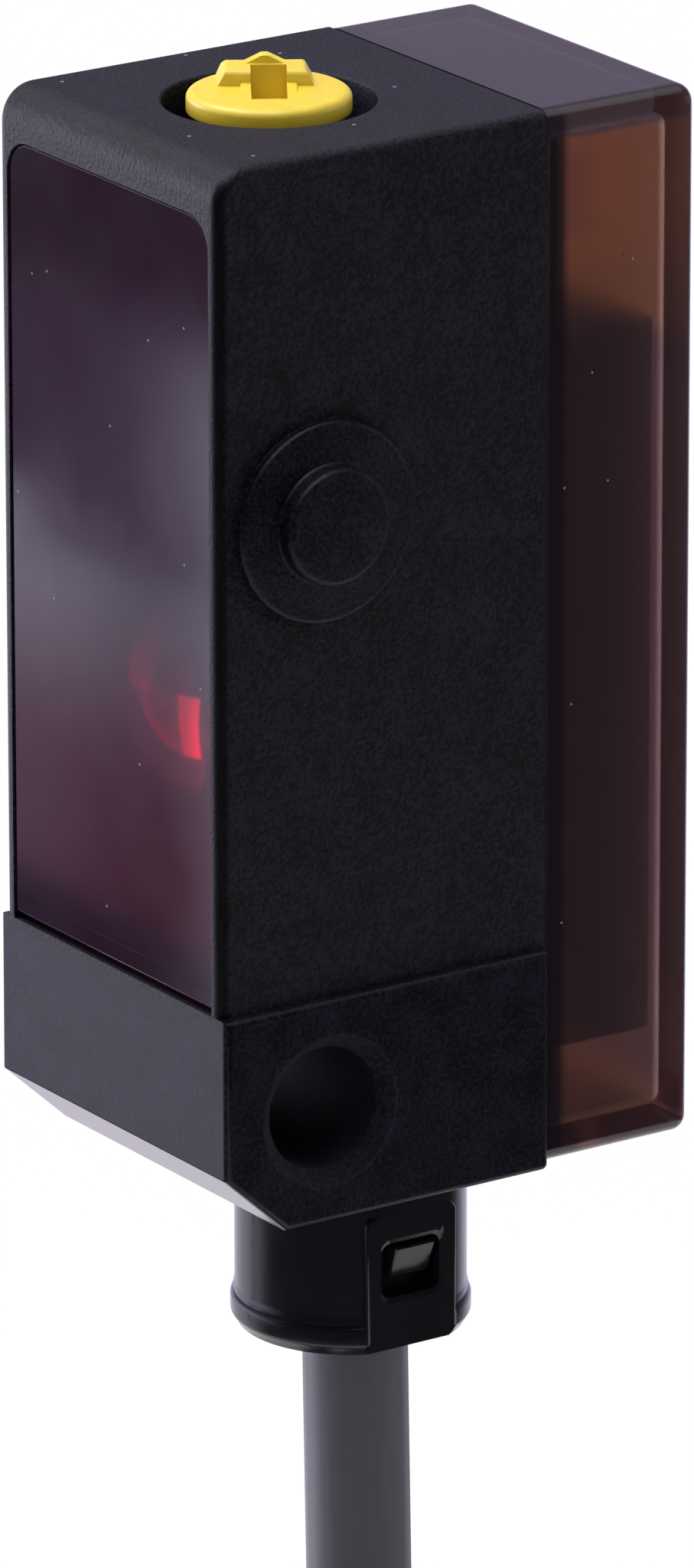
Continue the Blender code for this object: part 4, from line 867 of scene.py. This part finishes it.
def adjuster_solid(scene):
    """The slotted disc with its bar, pointer and shaft, made upright on its axis and then turned to rest."""
    sizes = scene.receiver_adjuster
    top = sizes.proud
    foot = top - sizes.thickness
    shaft_end = -scene.receiver_housing.top_wall - SEAM
    profile = [(0.0, top)]
    profile += arc((sizes.radius - sizes.edge, top - sizes.edge), sizes.edge, 90, 0, 8)
    profile += arc((sizes.radius - SEAM, foot + SEAM), SEAM, 0, -90, 4)
    profile += [(sizes.shaft_radius, foot), (sizes.shaft_radius, shaft_end), (0.0, shaft_end)]
    disc = turned(profile, (0.0, 0.0, 0.0), steps=128)

    inside, bar_top, middle = top - sizes.edge, top + sizes.bar_height, -sizes.pointer_offset
    bar = block(both(sizes.bar_length / 2, middle), (sizes.bar_near, sizes.bar_far), (inside, bar_top))
    for vert in bar.verts:
        if vert.co.z > inside + SEAM:
            vert.co.x += math.copysign(sizes.bar_slope, middle - vert.co.x)
    round_edges(bar, lambda e: on_plane(e, Z, bar_top), sizes.bar_edge, 5)

    far = sizes.bar_far - SEAM
    rails = block(both(sizes.slot_width / 2 + sizes.cheek_wall), (-sizes.slot_near, far),
                  (inside, top + sizes.cheek_height))
    for vert in rails.verts:
        if vert.co.y < 0.0 and vert.co.z > inside:
            vert.co.z = top - SEAM / 2
    round_edges(rails, lambda e: not runs_along(e, X) and not runs_along(e, Z), SEAM / 2, 3)

    ridge_top = bar_top + sizes.pointer_height
    narrowing = 8
    ridge = block(both(sizes.pointer_width / 2, middle), (sizes.bar_far - sizes.pointer_length, far),
                  (bar_top - SEAM, ridge_top))
    for vert in ridge.verts:
        if vert.co.z > bar_top:
            vert.co.x = middle + (vert.co.x - middle) / narrowing
    round_edges(ridge, lambda e: on_plane(e, Z, ridge_top) and runs_along(e, Y), SEAM / 2, 3)

    slot = block(both(sizes.slot_width / 2), (-sizes.slot_near, sizes.slot_far - 2 * SEAM),
                 (top - sizes.slot_depth, top + 2 * sizes.bar_height))
    blade = block(both(sizes.blade_width / 2), both(sizes.blade_thickness / 2),
                  (shaft_end - sizes.blade_length + SEAM, shaft_end + SEAT))
    made = combined(disc, ('UNION', bar), ('UNION', rails), ('UNION', ridge), ('DIFFERENCE', slot),
                    ('UNION', blade))
    place = Matrix.Translation((AXIS.x, AXIS.y, BODY_HEIGHT)) @ Matrix.Rotation(sizes.rest_angle, 4, 'Z')
    bmesh.ops.transform(made, matrix=place, verts=made.verts)
    return made


def gland_solid(sizes):
    """The snap-in sleeve with its flange, flat pad and latch window."""
    flange_top = GLAND_FOOT + sizes.flange_height
    rise = sizes.flange_height / 3
    profile = [(sizes.spigot_radius, SPIGOT_TOP), (sizes.spigot_radius, -SEAM), (sizes.radius - SEAM, -SEAM)]
    profile += arc((sizes.radius - SEAM, -2 * SEAM), SEAM, 90, 0, 3)
    profile += [(sizes.radius, flange_top + SEAM), (sizes.radius + SEAM / 3, flange_top)]
    profile += arc((FLANGE_RADIUS - SEAT, flange_top - rise), SEAT, 60, 0, 4)
    profile += arc((FLANGE_RADIUS - 2 * SEAM, GLAND_FOOT + rise), 2 * SEAM, 0, -50, 4)
    profile += [(FLANGE_RADIUS - 2 * SEAM, GLAND_FOOT), (sizes.bore, GLAND_FOOT),
                (sizes.bore, -sizes.shoulder), (sizes.cable_bore, -sizes.shoulder),
                (sizes.cable_bore, SPIGOT_TOP)]
    sleeve = turned(profile, (0.0, GLAND_Y, 0.0), closed=True, steps=128)

    across, upright = both(sizes.pad_width / 2, GLAND_Y), (-sizes.pad_foot, -sizes.pad_top)
    outside = FLANGE_RADIUS + TOUCH
    pad = block((sizes.bore + SEAM, sizes.pad_face), across, upright)
    round_edges(pad, lambda e: runs_along(e, X) and on_plane(e, Z, -sizes.pad_top), sizes.pad_corner, 6)
    round_edges(pad, lambda e: on_plane(e, X, sizes.pad_face), SEAM, 3)
    face_cut = block((sizes.pad_face, outside), across, upright)
    foot_cut = block((sizes.bore + TOUCH, outside), across, (GLAND_FOOT - TOUCH, -sizes.pad_foot))

    half_y, half_z = sizes.window_width / 2, sizes.window_height / 2
    opening = block((sizes.bore - TOUCH - SEAT, sizes.pad_face + TOUCH), both(half_y, GLAND_Y),
                    both(half_z, -sizes.window_drop))
    mouth = block(both(SEAM, sizes.pad_face), both(half_y), both(half_z))
    for cutter in (opening, mouth):
        round_edges(cutter, lambda e: runs_along(e, X), sizes.window_corner, 6)
    for vert in mouth.verts:
        if vert.co.x > sizes.pad_face:
            vert.co.y *= 1 + 3 * SEAM / half_y
            vert.co.z *= 1 + 3 * SEAM / half_z
    bmesh.ops.translate(mouth, vec=(0.0, GLAND_Y, -sizes.window_drop), verts=mouth.verts)
    return combined(sleeve, ('UNION', pad), ('DIFFERENCE', face_cut), ('DIFFERENCE', foot_cut),
                    ('DIFFERENCE', opening), ('DIFFERENCE', mouth))


def clamp_solid(sizes):
    """The clamp sleeve inside the gland, with the latch that fills the window."""
    outer = sizes.bore - SEAT
    foot, top = CLAMP[0].z, CLAMP[1].z
    sleeve = turned([(outer, top), (outer, foot), (sizes.clamp_bore, foot), (sizes.clamp_bore, top)],
                    (0.0, GLAND_Y, 0.0), closed=True)
    half_y = sizes.window_width / 2 - sizes.latch_gap
    half_z = sizes.window_height / 2
    low = sizes.latch_under - half_z - sizes.window_drop
    nub = block((outer - SEAT - TOUCH, sizes.pad_face - sizes.latch_set_back),
                (GLAND_Y - half_y + TOUCH, GLAND_Y + half_y + SEAM),
                (low, half_z - sizes.latch_gap - sizes.window_drop))
    for vert in nub.verts:
        if vert.co.x > outer and vert.co.z < low + SEAM:
            vert.co.x -= sizes.latch_ramp
    round_edges(nub, lambda e: all(vert.co.x > outer - SEAT for vert in e.verts), SEAM, 4)
    return combined(sleeve, ('UNION', nub))


def tie_solid(sizes):
    """A cable tie round the hank: a strap with round corners, its head and the trimmed end."""
    low, high = HANK[0] - Vector((SEAM, SEAM, 0.0)), HANK[1] + Vector((SEAM, SEAM, 0.0))
    level = (TIE[0].z + TIE[1].z) / 2
    half_width = sizes.tie_width / 2
    corner = sizes.radius + SEAM
    middles = ((high.x - corner, high.y - corner, 0), (low.x + corner, high.y - corner, 90),
               (low.x + corner, low.y + corner, 180), (high.x - corner, low.y + corner, 270))
    outer_corner = corner + sizes.tie_wall
    strap = bmesh.new()
    rings = []
    for radius, side in ((corner, -1), (outer_corner, -1), (outer_corner, 1), (corner, 1)):
        path = [point for x, y, start in middles for point in arc((x, y), radius, start, start + 90, 8)]
        rings.append([strap.verts.new((x, y, level + side * half_width)) for x, y in path])
    lengthways = set()
    for ring, following in zip(rings, rings[1:] + rings[:1]):
        for step in range(len(ring)):
            after = (step + 1) % len(ring)
            strap.faces.new((ring[step], ring[after], following[after], following[step]))
            lengthways.add(frozenset((ring[step], ring[after])))
    bmesh.ops.recalc_face_normals(strap, faces=strap.faces)
    round_edges(strap, lambda e: frozenset(e.verts) in lengthways, 2 * SEAM, 2)

    middle = (low.y + high.y) / 2
    outer = high.x + sizes.tie_wall
    half = sizes.tie_head / 2
    head = block((outer - 3 * sizes.tie_wall, CAD_BOX[1][0] - ORIGIN.x - SEAM), both(half, middle),
                 both(half_width + 2 * TOUCH, level))
    round_edges(head, lambda e: True, 2 * TOUCH, 3)
    end = block((outer - TOUCH, outer + sizes.tie_wall - TOUCH),
                (middle + half - SEAM, middle + half + 4 * TOUCH), both(half_width - SEAM, level))
    slot = block((high.x + SEAM, outer + sizes.tie_wall + SEAM),
                 (middle - half - SEAM, middle - half + 2 * TOUCH), both(half_width + SEAM, level))
    return combined(head, ('DIFFERENCE', slot), ('UNION', strap), ('UNION', end))


def ease(share):
    """A smooth step from 0 to 1."""
    share = min(max(share, 0.0), 1.0)
    return share * share * (3 - 2 * share)


def cable_route(sizes):
    """The cable's centreline: out of the gland, through every turn of the hank and down its tail."""
    drop = (CABLE[1].z, SPIGOT_TOP, 0.0, GLAND_FOOT, -0.009, -0.0125, -0.016, -0.020, -0.026, -0.032)
    points = [Vector((0.0, GLAND_Y + sizes.lean * (SPIGOT_TOP / 2 - height), height)) for height in drop]

    middle = (HANK[0].y + HANK[1].y) / 2
    reach = (HANK[1].y - HANK[0].y) / 2
    top, foot = HANK[1].z - reach, HANK[0].z + reach
    thick = 2 * sizes.radius
    near, far, last = -thick, thick, 2 * thick
    radii = [sizes.inner_radius + thick * turn for turn in range(4)]
    x, radius = near, radii[0]

    swing = sizes.swing_start
    start = points[-1].y + sizes.lean * (points[-1].z - (top - swing)) - middle
    for step in range(17):
        down = swing + (top - foot - swing) * step / 16
        share = ease(step / 16)
        points.append(Vector((x * share, middle + start + (radius - start) * share, top - down)))

    def bend(way):
        """Half a turn round the hank's foot after a run down, or round its top after a run up."""
        centre = foot if way > 0 else top
        for step in range(1, 24):
            angle = math.pi * step / 24
            points.append(Vector((x, middle + way * radius * math.cos(angle),
                                  centre - way * radius * math.sin(angle))))

    def run(way, to_radius, to_x, window=(0.0, 1.0)):
        """A straight run down at 1 or up at -1, which moves to another turn within a window of its length."""
        nonlocal x, radius
        for step in range(13):
            share = step / 12
            moved = ease((share - window[0]) / (window[1] - window[0]))
            height = top - (top - foot) * share if way > 0 else foot + (top - foot) * share
            aside = way * (radius + (to_radius - radius) * moved)
            points.append(Vector((x + (to_x - x) * moved, middle + aside, height)))
        x, radius = to_x, to_radius

    # Each row is one turn: where its run down and its run up end, and where along them the cable moves over
    early, late, outwards = (0.0, 0.45), (0.5, 1.0), (0.4, 1.0)
    turns = [((size, near, late), (size, near, early)) for size in radii[1:-1]]
    turns.append(((radii[-1], near, late), (radii[-1], far, outwards)))
    turns += [((larger, far, early), (size, far, early)) for larger, size in zip(radii[:0:-1], radii[-2::-1])]
    turns.append(((radii[0], last, (0.4, 0.85)), (radii[0], last, early)))
    turns += [((size, last, early), (size, last, early)) for size in radii[1:-1]]
    bend(1)
    run(-1, radius, near)
    bend(-1)
    for descent, climb in turns:
        run(1, *descent)
        bend(1)
        run(-1, *climb)
        bend(-1)
    tail = (TAIL[0].y + TAIL[1].y) / 2 - middle
    run(1, tail, last, early)
    for step in range(1, 9):
        points.append(Vector((last, middle + tail, foot + (TAIL[0].z - foot) * step / 8)))
    return points


def cord_curve(name, points, radius, finish):
    """A round cord along a list of points in the sensor's own coordinates."""
    curve = bpy.data.curves.new(name, 'CURVE')
    curve.dimensions = '3D'
    curve.bevel_depth = radius
    curve.bevel_resolution = 5
    curve.use_fill_caps = True
    spline = curve.splines.new('POLY')
    spline.points.add(len(points) - 1)
    for target, point in zip(spline.points, points):
        target.co = (*(point + ORIGIN), 1.0)
    spline.use_smooth = True
    curve.materials.append(finish.material)
    made = bpy.data.objects.new(name, curve)
    bpy.context.scene.collection.objects.link(made)
    return made


def towards(bearing, rise):
    """The way from the sensor to a bearing and a height, both in degrees."""
    turn, lift = math.radians(bearing), math.radians(rise)
    return Vector((math.sin(turn) * math.cos(lift), -math.cos(turn) * math.cos(lift), math.sin(lift)))


class RECEIVER_OT_stage(bpy.types.Operator):
    """Sets the camera, the floor and the studio light"""
    bl_idname = "receiver.stage"
    bl_label = "Stage"

    def execute(self, context):
        scene = context.scene
        scene.view_settings.view_transform = 'Standard'
        self.camera(scene)
        self.world(scene)
        self.floor(CAD_BOX[0][Z] - 5 * SEAM)
        self.tent(CAD_BOX[0][Z])
        self.card()
        for name, settings in LAMPS.items():
            self.softbox(scene, name, *settings)
        return {'FINISHED'}

    @staticmethod
    def camera(scene):
        """A camera where the photograph was taken from."""
        camera = bpy.data.cameras.new("camera")
        camera.sensor_fit = 'AUTO'
        camera.sensor_width = 36.0
        camera.lens = CAMERA_LENS
        camera.clip_start = 0.01
        camera.clip_end = 20.0
        holder = bpy.data.objects.new("camera", camera)
        back, turn = towards(CAMERA_BEARING, CAMERA_RISE), math.radians(CAMERA_BEARING)
        right = Vector((math.cos(turn), math.sin(turn), 0.0))
        facing = Matrix((right, back.cross(right), back)).transposed()
        facing = facing @ Matrix.Rotation(math.radians(CAMERA_ROLL), 3, 'Z')
        holder.matrix_world = Matrix.Translation(ORIGIN + CAMERA_PLACE) @ facing.to_4x4()
        scene.collection.objects.link(holder)
        scene.camera = holder

    @staticmethod
    def world(scene):
        """White to the camera and in reflections, and a plain grey light on the object."""
        world = bpy.data.worlds.new("studio")
        world.use_nodes = True
        made = Nodes(world.node_tree)
        level = made.node("MapRange", None, {"Value": made.seen(), "To Min": 0.35, "To Max": 1.0})
        background = made.tree.nodes["Background"]
        background.inputs["Color"].default_value = (*WHITE, 1.0)
        made.feed(background.inputs["Strength"], level)
        scene.world = world

    @staticmethod
    def floor(height):
        """A pale floor that keeps the object's shadow."""
        bm = bmesh.new()
        bmesh.ops.create_grid(bm, x_segments=1, y_segments=1, size=4.0)
        bmesh.ops.translate(bm, vec=(ORIGIN.x, ORIGIN.y, height), verts=bm.verts)
        made = Finish("pale_floor", (0.9, 0.9, 0.9), 1.0, Specular_IOR_Level=0.0)
        far = made.length(made.node("TexCoord", output="Object"))
        white = made.node("Emission", None, {"Strength": 1.0})
        made.layer(made.seen() * made.range(far, 0.16, 0.45, 0.85, 1.0), white)
        placed("floor", bm, made)

    @staticmethod
    def reflector(name, bm, finish):
        """A stage surface that only reflections see."""
        made = placed(name, bm, finish)
        made.visible_camera = False
        made.visible_diffuse = False
        made.visible_transmission = False
        made.visible_shadow = False

    def tent(self, foot):
        """A round tent, dark on the camera's side and bright behind, for the gloss to show."""
        radius, top, faint, high_loss = 0.25, 0.30, 0.02, 0.69
        bm = bmesh.new()
        bmesh.ops.create_cone(bm, cap_ends=False, segments=96, radius1=radius, radius2=radius,
                              depth=top - foot)
        bmesh.ops.translate(bm, vec=(ORIGIN.x, ORIGIN.y, (top + foot) / 2), verts=bm.verts)
        made = Finish("tent", (0.0, 0.0, 0.0), 1.0, Specular_IOR_Level=0.0, Emission_Strength=1.0)
        turn = made.math('ARCTAN2', made.along(X), 0 - made.along(Y))
        bearing = turn * (180 / math.pi) - CAMERA_BEARING
        bearing = bearing + 360 * (bearing < -180)
        height = made.along(Z)
        raised = made.range(height, -0.080, -0.074)
        right = made.range(bearing, 118, 150)
        left = made.range(bearing - 20 * raised, -84, -118)
        high = made.range(height, 0.02, 0.06)
        level = faint + made.math('MAXIMUM', right, left) * (1 - high_loss * high)
        made.glow(level, 0.94 * level, level * (1.10 + 0.26 * made.range(height, -0.092, -0.086)))
        self.reflector("tent", bm, made)

    def card(self):
        """A card whose soft bands the window shows, drawn in the window's own millimetres."""
        away, thickness, margin = 0.12, 0.0005, 0.012
        eye = CAMERA_PLACE
        reach = (away - eye.y) / -eye.y
        low, high = (eye + reach * (corner - eye) for corner in WINDOW)
        bm = block((low.x - margin, high.x + margin), (-away - thickness, -away),
                   (low.z - 2 * margin, high.z + margin))
        bmesh.ops.translate(bm, vec=ORIGIN, verts=bm.verts)
        made = Finish("band_card", (0.0, 0.0, 0.0), 1.0, Specular_IOR_Level=0.0, Emission_Strength=1.0)
        x, z = (((made.along(axis) - eye[axis]) / reach + eye[axis]) * 1000 for axis in (X, Z))
        upper = 0.13 + 0.22 * made.range(z, 29.0, 25.5)
        patch = made.range(x, -1.0, 4.6) * made.range(z, 28.2, 25.5) * made.range(z, 18.5, 23.5)
        edge = 18.9 + 0.08 * x + 1.6 * made.range(x, -3.4, -5.2)
        band = made.range(z - edge, 0.55, -0.35)
        side = made.range(x, 2.5, -5.5)
        level = upper + 0.55 * patch + band * (made.range(z, 12.0, 18.6) * (0.65 + 0.65 * side) + 0.30 * side)
        level = level - 0.16 * made.range(z, 15.0, 10.0) * (1 - side)
        level = level * (1 - 0.75 * made.range(z, 8.9, 7.6))
        level = level + 0.9 * made.range(x, 5.0, 5.3) * made.range(z, 28.5, 25.0)
        made.glow(level, level * made.range(level, 0.0, 1.2, 0.60, 0.90), 1.22 * level)
        self.reflector("band_card", bm, made)

    @staticmethod
    def softbox(scene, name, way, distance, size, power, colour):
        """A square lamp that faces the sensor from a bearing and a height, in degrees."""
        lamp = bpy.data.lights.new(name, 'AREA')
        lamp.shape = 'SQUARE'
        lamp.size = size
        lamp.energy = power
        lamp.color = colour
        holder = bpy.data.objects.new(name, lamp)
        back = towards(*way)
        holder.location = ORIGIN + Vector((0.0, BODY_DEPTH / 2, BODY_HEIGHT / 2)) + back * distance
        holder.rotation_euler = back.to_track_quat('Z', 'Y').to_euler()
        scene.collection.objects.link(holder)


class RECEIVER_OT_cord(bpy.types.Operator):
    """Lays the fixed cable with its hank, tie and tail"""
    bl_idname = "receiver.cord"
    bl_label = "Cable"

    def execute(self, context):
        sizes = context.scene.receiver_cord
        made = cord_curve("fixed_cable", cable_route(sizes), sizes.radius, grey_sheath(context.scene))
        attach(made, "sensor")
        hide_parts("cable", "cable_hank", "cable_tail")
        ends = [piece("cable_tie", "hank_tie", tie_solid(sizes), ribbed_strap(context.scene))]
        for name in CORES:
            ends += [frame["nodes"]["core_" + name], frame["nodes"]["tinned_tip_" + name]]
        return {'FINISHED'}


class RECEIVER_OT_housing(bpy.types.Operator):
    """Models the housing with its studs, window recess, well and fixing hole"""
    bl_idname = "receiver.housing"
    bl_label = "Housing"

    def execute(self, context):
        piece("moulded_housing", "housing", housing_solid(context.scene), textured_black(context.scene))
        return {'FINISHED'}


class RECEIVER_OT_window(bpy.types.Operator):
    """Models the smoked window and the rear cover"""
    bl_idname = "receiver.window"
    bl_label = "Window and cover"

    def execute(self, context):
        piece("smoked_window", "front_window", window_solid(context.scene), smoked_red(context.scene))
        piece("smoked_cover", "rear_cover", cover_solid(context.scene), smoked_brown(context.scene))
        return {'FINISHED'}


class RECEIVER_OT_adjuster(bpy.types.Operator):
    """Models the yellow sensitivity adjuster"""
    bl_idname = "receiver.adjuster"
    bl_label = "Adjuster"

    def execute(self, context):
        piece("slotted_adjuster", "adjuster", adjuster_solid(context.scene), signal_yellow(context.scene),
              body="adjuster")
        return {'FINISHED'}


class RECEIVER_OT_gland(bpy.types.Operator):
    """Models the snap-in gland and its clamp"""
    bl_idname = "receiver.gland"
    bl_label = "Gland"

    def execute(self, context):
        sizes = context.scene.receiver_gland
        black = gloss_black(context.scene)
        piece("snap_in_gland", "cable_gland", gland_solid(sizes), black)
        piece("latched_clamp", "cable_clamp", clamp_solid(sizes), black)
        return {'FINISHED'}


class RECEIVER_OT_inside(bpy.types.Operator):
    """Gives the pieces inside the housing and the cable's cores their finishes"""
    bl_idname = "receiver.inside"
    bl_label = "Inside"

    def execute(self, context):
        metal = tinned(context.scene)
        groups = {
            dull_black(context.scene): ("optics_carrier", "aperture_plate", "board_tray"),
            metal: ("shield_can", "potentiometer_pin_left", "potentiometer_pin_middle",
                    "potentiometer_pin_right"),
            rubber(context.scene): ("cover_seal", "adjuster_seal", "cable_seal"),
            solder_resist(context.scene): ("circuit_board",),
            painted_glow_lens(): ("receiver_lens",),
            clear("clear_plastic", (0.90, 0.92, 0.94)): ("light_guide",),
            clear("red_filter", (0.75, 0.03, 0.05)): ("daylight_filter",),
            moulded("chip_black", (0.030, 0.030, 0.032), 0.5): ("photodiode", "signal_chip", "output_driver"),
            moulded("fired_ceramic", (0.46, 0.36, 0.26), 0.5): ("capacitor_left", "capacitor_right",
                                                                "resistor_left", "resistor_right"),
            moulded("trimmer_blue", (0.05, 0.16, 0.42), 0.42): ("potentiometer",),
            moulded("rotor_white", (0.75, 0.74, 0.70), 0.45): ("potentiometer_rotor",),
            moulded("amber_lens", (0.90, 0.62, 0.10), 0.2): ("switching_led",),
            moulded("green_lens", (0.30, 0.75, 0.25), 0.2): ("power_led",),
        }
        for name, colour in CORES.items():
            groups[moulded("insulation_" + name, colour, 0.45)] = ("lead_" + name, "core_" + name)
            groups[metal] += ("tinned_tip_" + name,)
        for finish, nodes in groups.items():
            for node in nodes:
                dress(node, finish)
        return {'FINISHED'}


class RECEIVER_PT_panel(bpy.types.Panel):
    """Lists the receiver's settings and steps"""
    bl_idname = "RECEIVER_PT_panel"
    bl_label = "Receiver"
    bl_space_type = 'VIEW_3D'
    bl_region_type = 'UI'
    bl_category = "Receiver"

    def draw(self, context):
        for group in SETTINGS:
            box = self.layout.box()
            owner = getattr(context.scene, group)
            for name in owner.bl_rna.properties.keys():
                if name not in ("rna_type", "name"):
                    box.prop(owner, name)
        for step in STEPS:
            self.layout.operator(step.bl_idname)


SETTINGS = {
    "receiver_housing": HousingSizes,
    "receiver_cover": CoverSizes,
    "receiver_adjuster": AdjusterSizes,
    "receiver_gland": GlandSizes,
    "receiver_cord": CordSizes,
    "receiver_colours": ReceiverColours,
}
STEPS = (RECEIVER_OT_stage, RECEIVER_OT_cord, RECEIVER_OT_housing, RECEIVER_OT_window, RECEIVER_OT_adjuster,
         RECEIVER_OT_gland, RECEIVER_OT_inside)
CLASSES = (*SETTINGS.values(), *STEPS, RECEIVER_PT_panel)


def register():
    """Registers the add-on's classes and hangs its settings on the scene."""
    for group in CLASSES:
        bpy.utils.register_class(group)
    for name, group in SETTINGS.items():
        setattr(bpy.types.Scene, name, PointerProperty(type=group))


def unregister():
    """Takes the settings and the classes away again."""
    for name in SETTINGS:
        delattr(bpy.types.Scene, name)
    for group in reversed(CLASSES):
        bpy.utils.unregister_class(group)


def main():
    """Registers the add-on and runs every step in order."""
    register()
    bpy.ops.receiver.stage()
    bpy.ops.receiver.cord()
    bpy.ops.receiver.housing()
    bpy.ops.receiver.window()
    bpy.ops.receiver.adjuster()
    bpy.ops.receiver.gland()
    bpy.ops.receiver.inside()


if __name__ == "__main__":
    main()
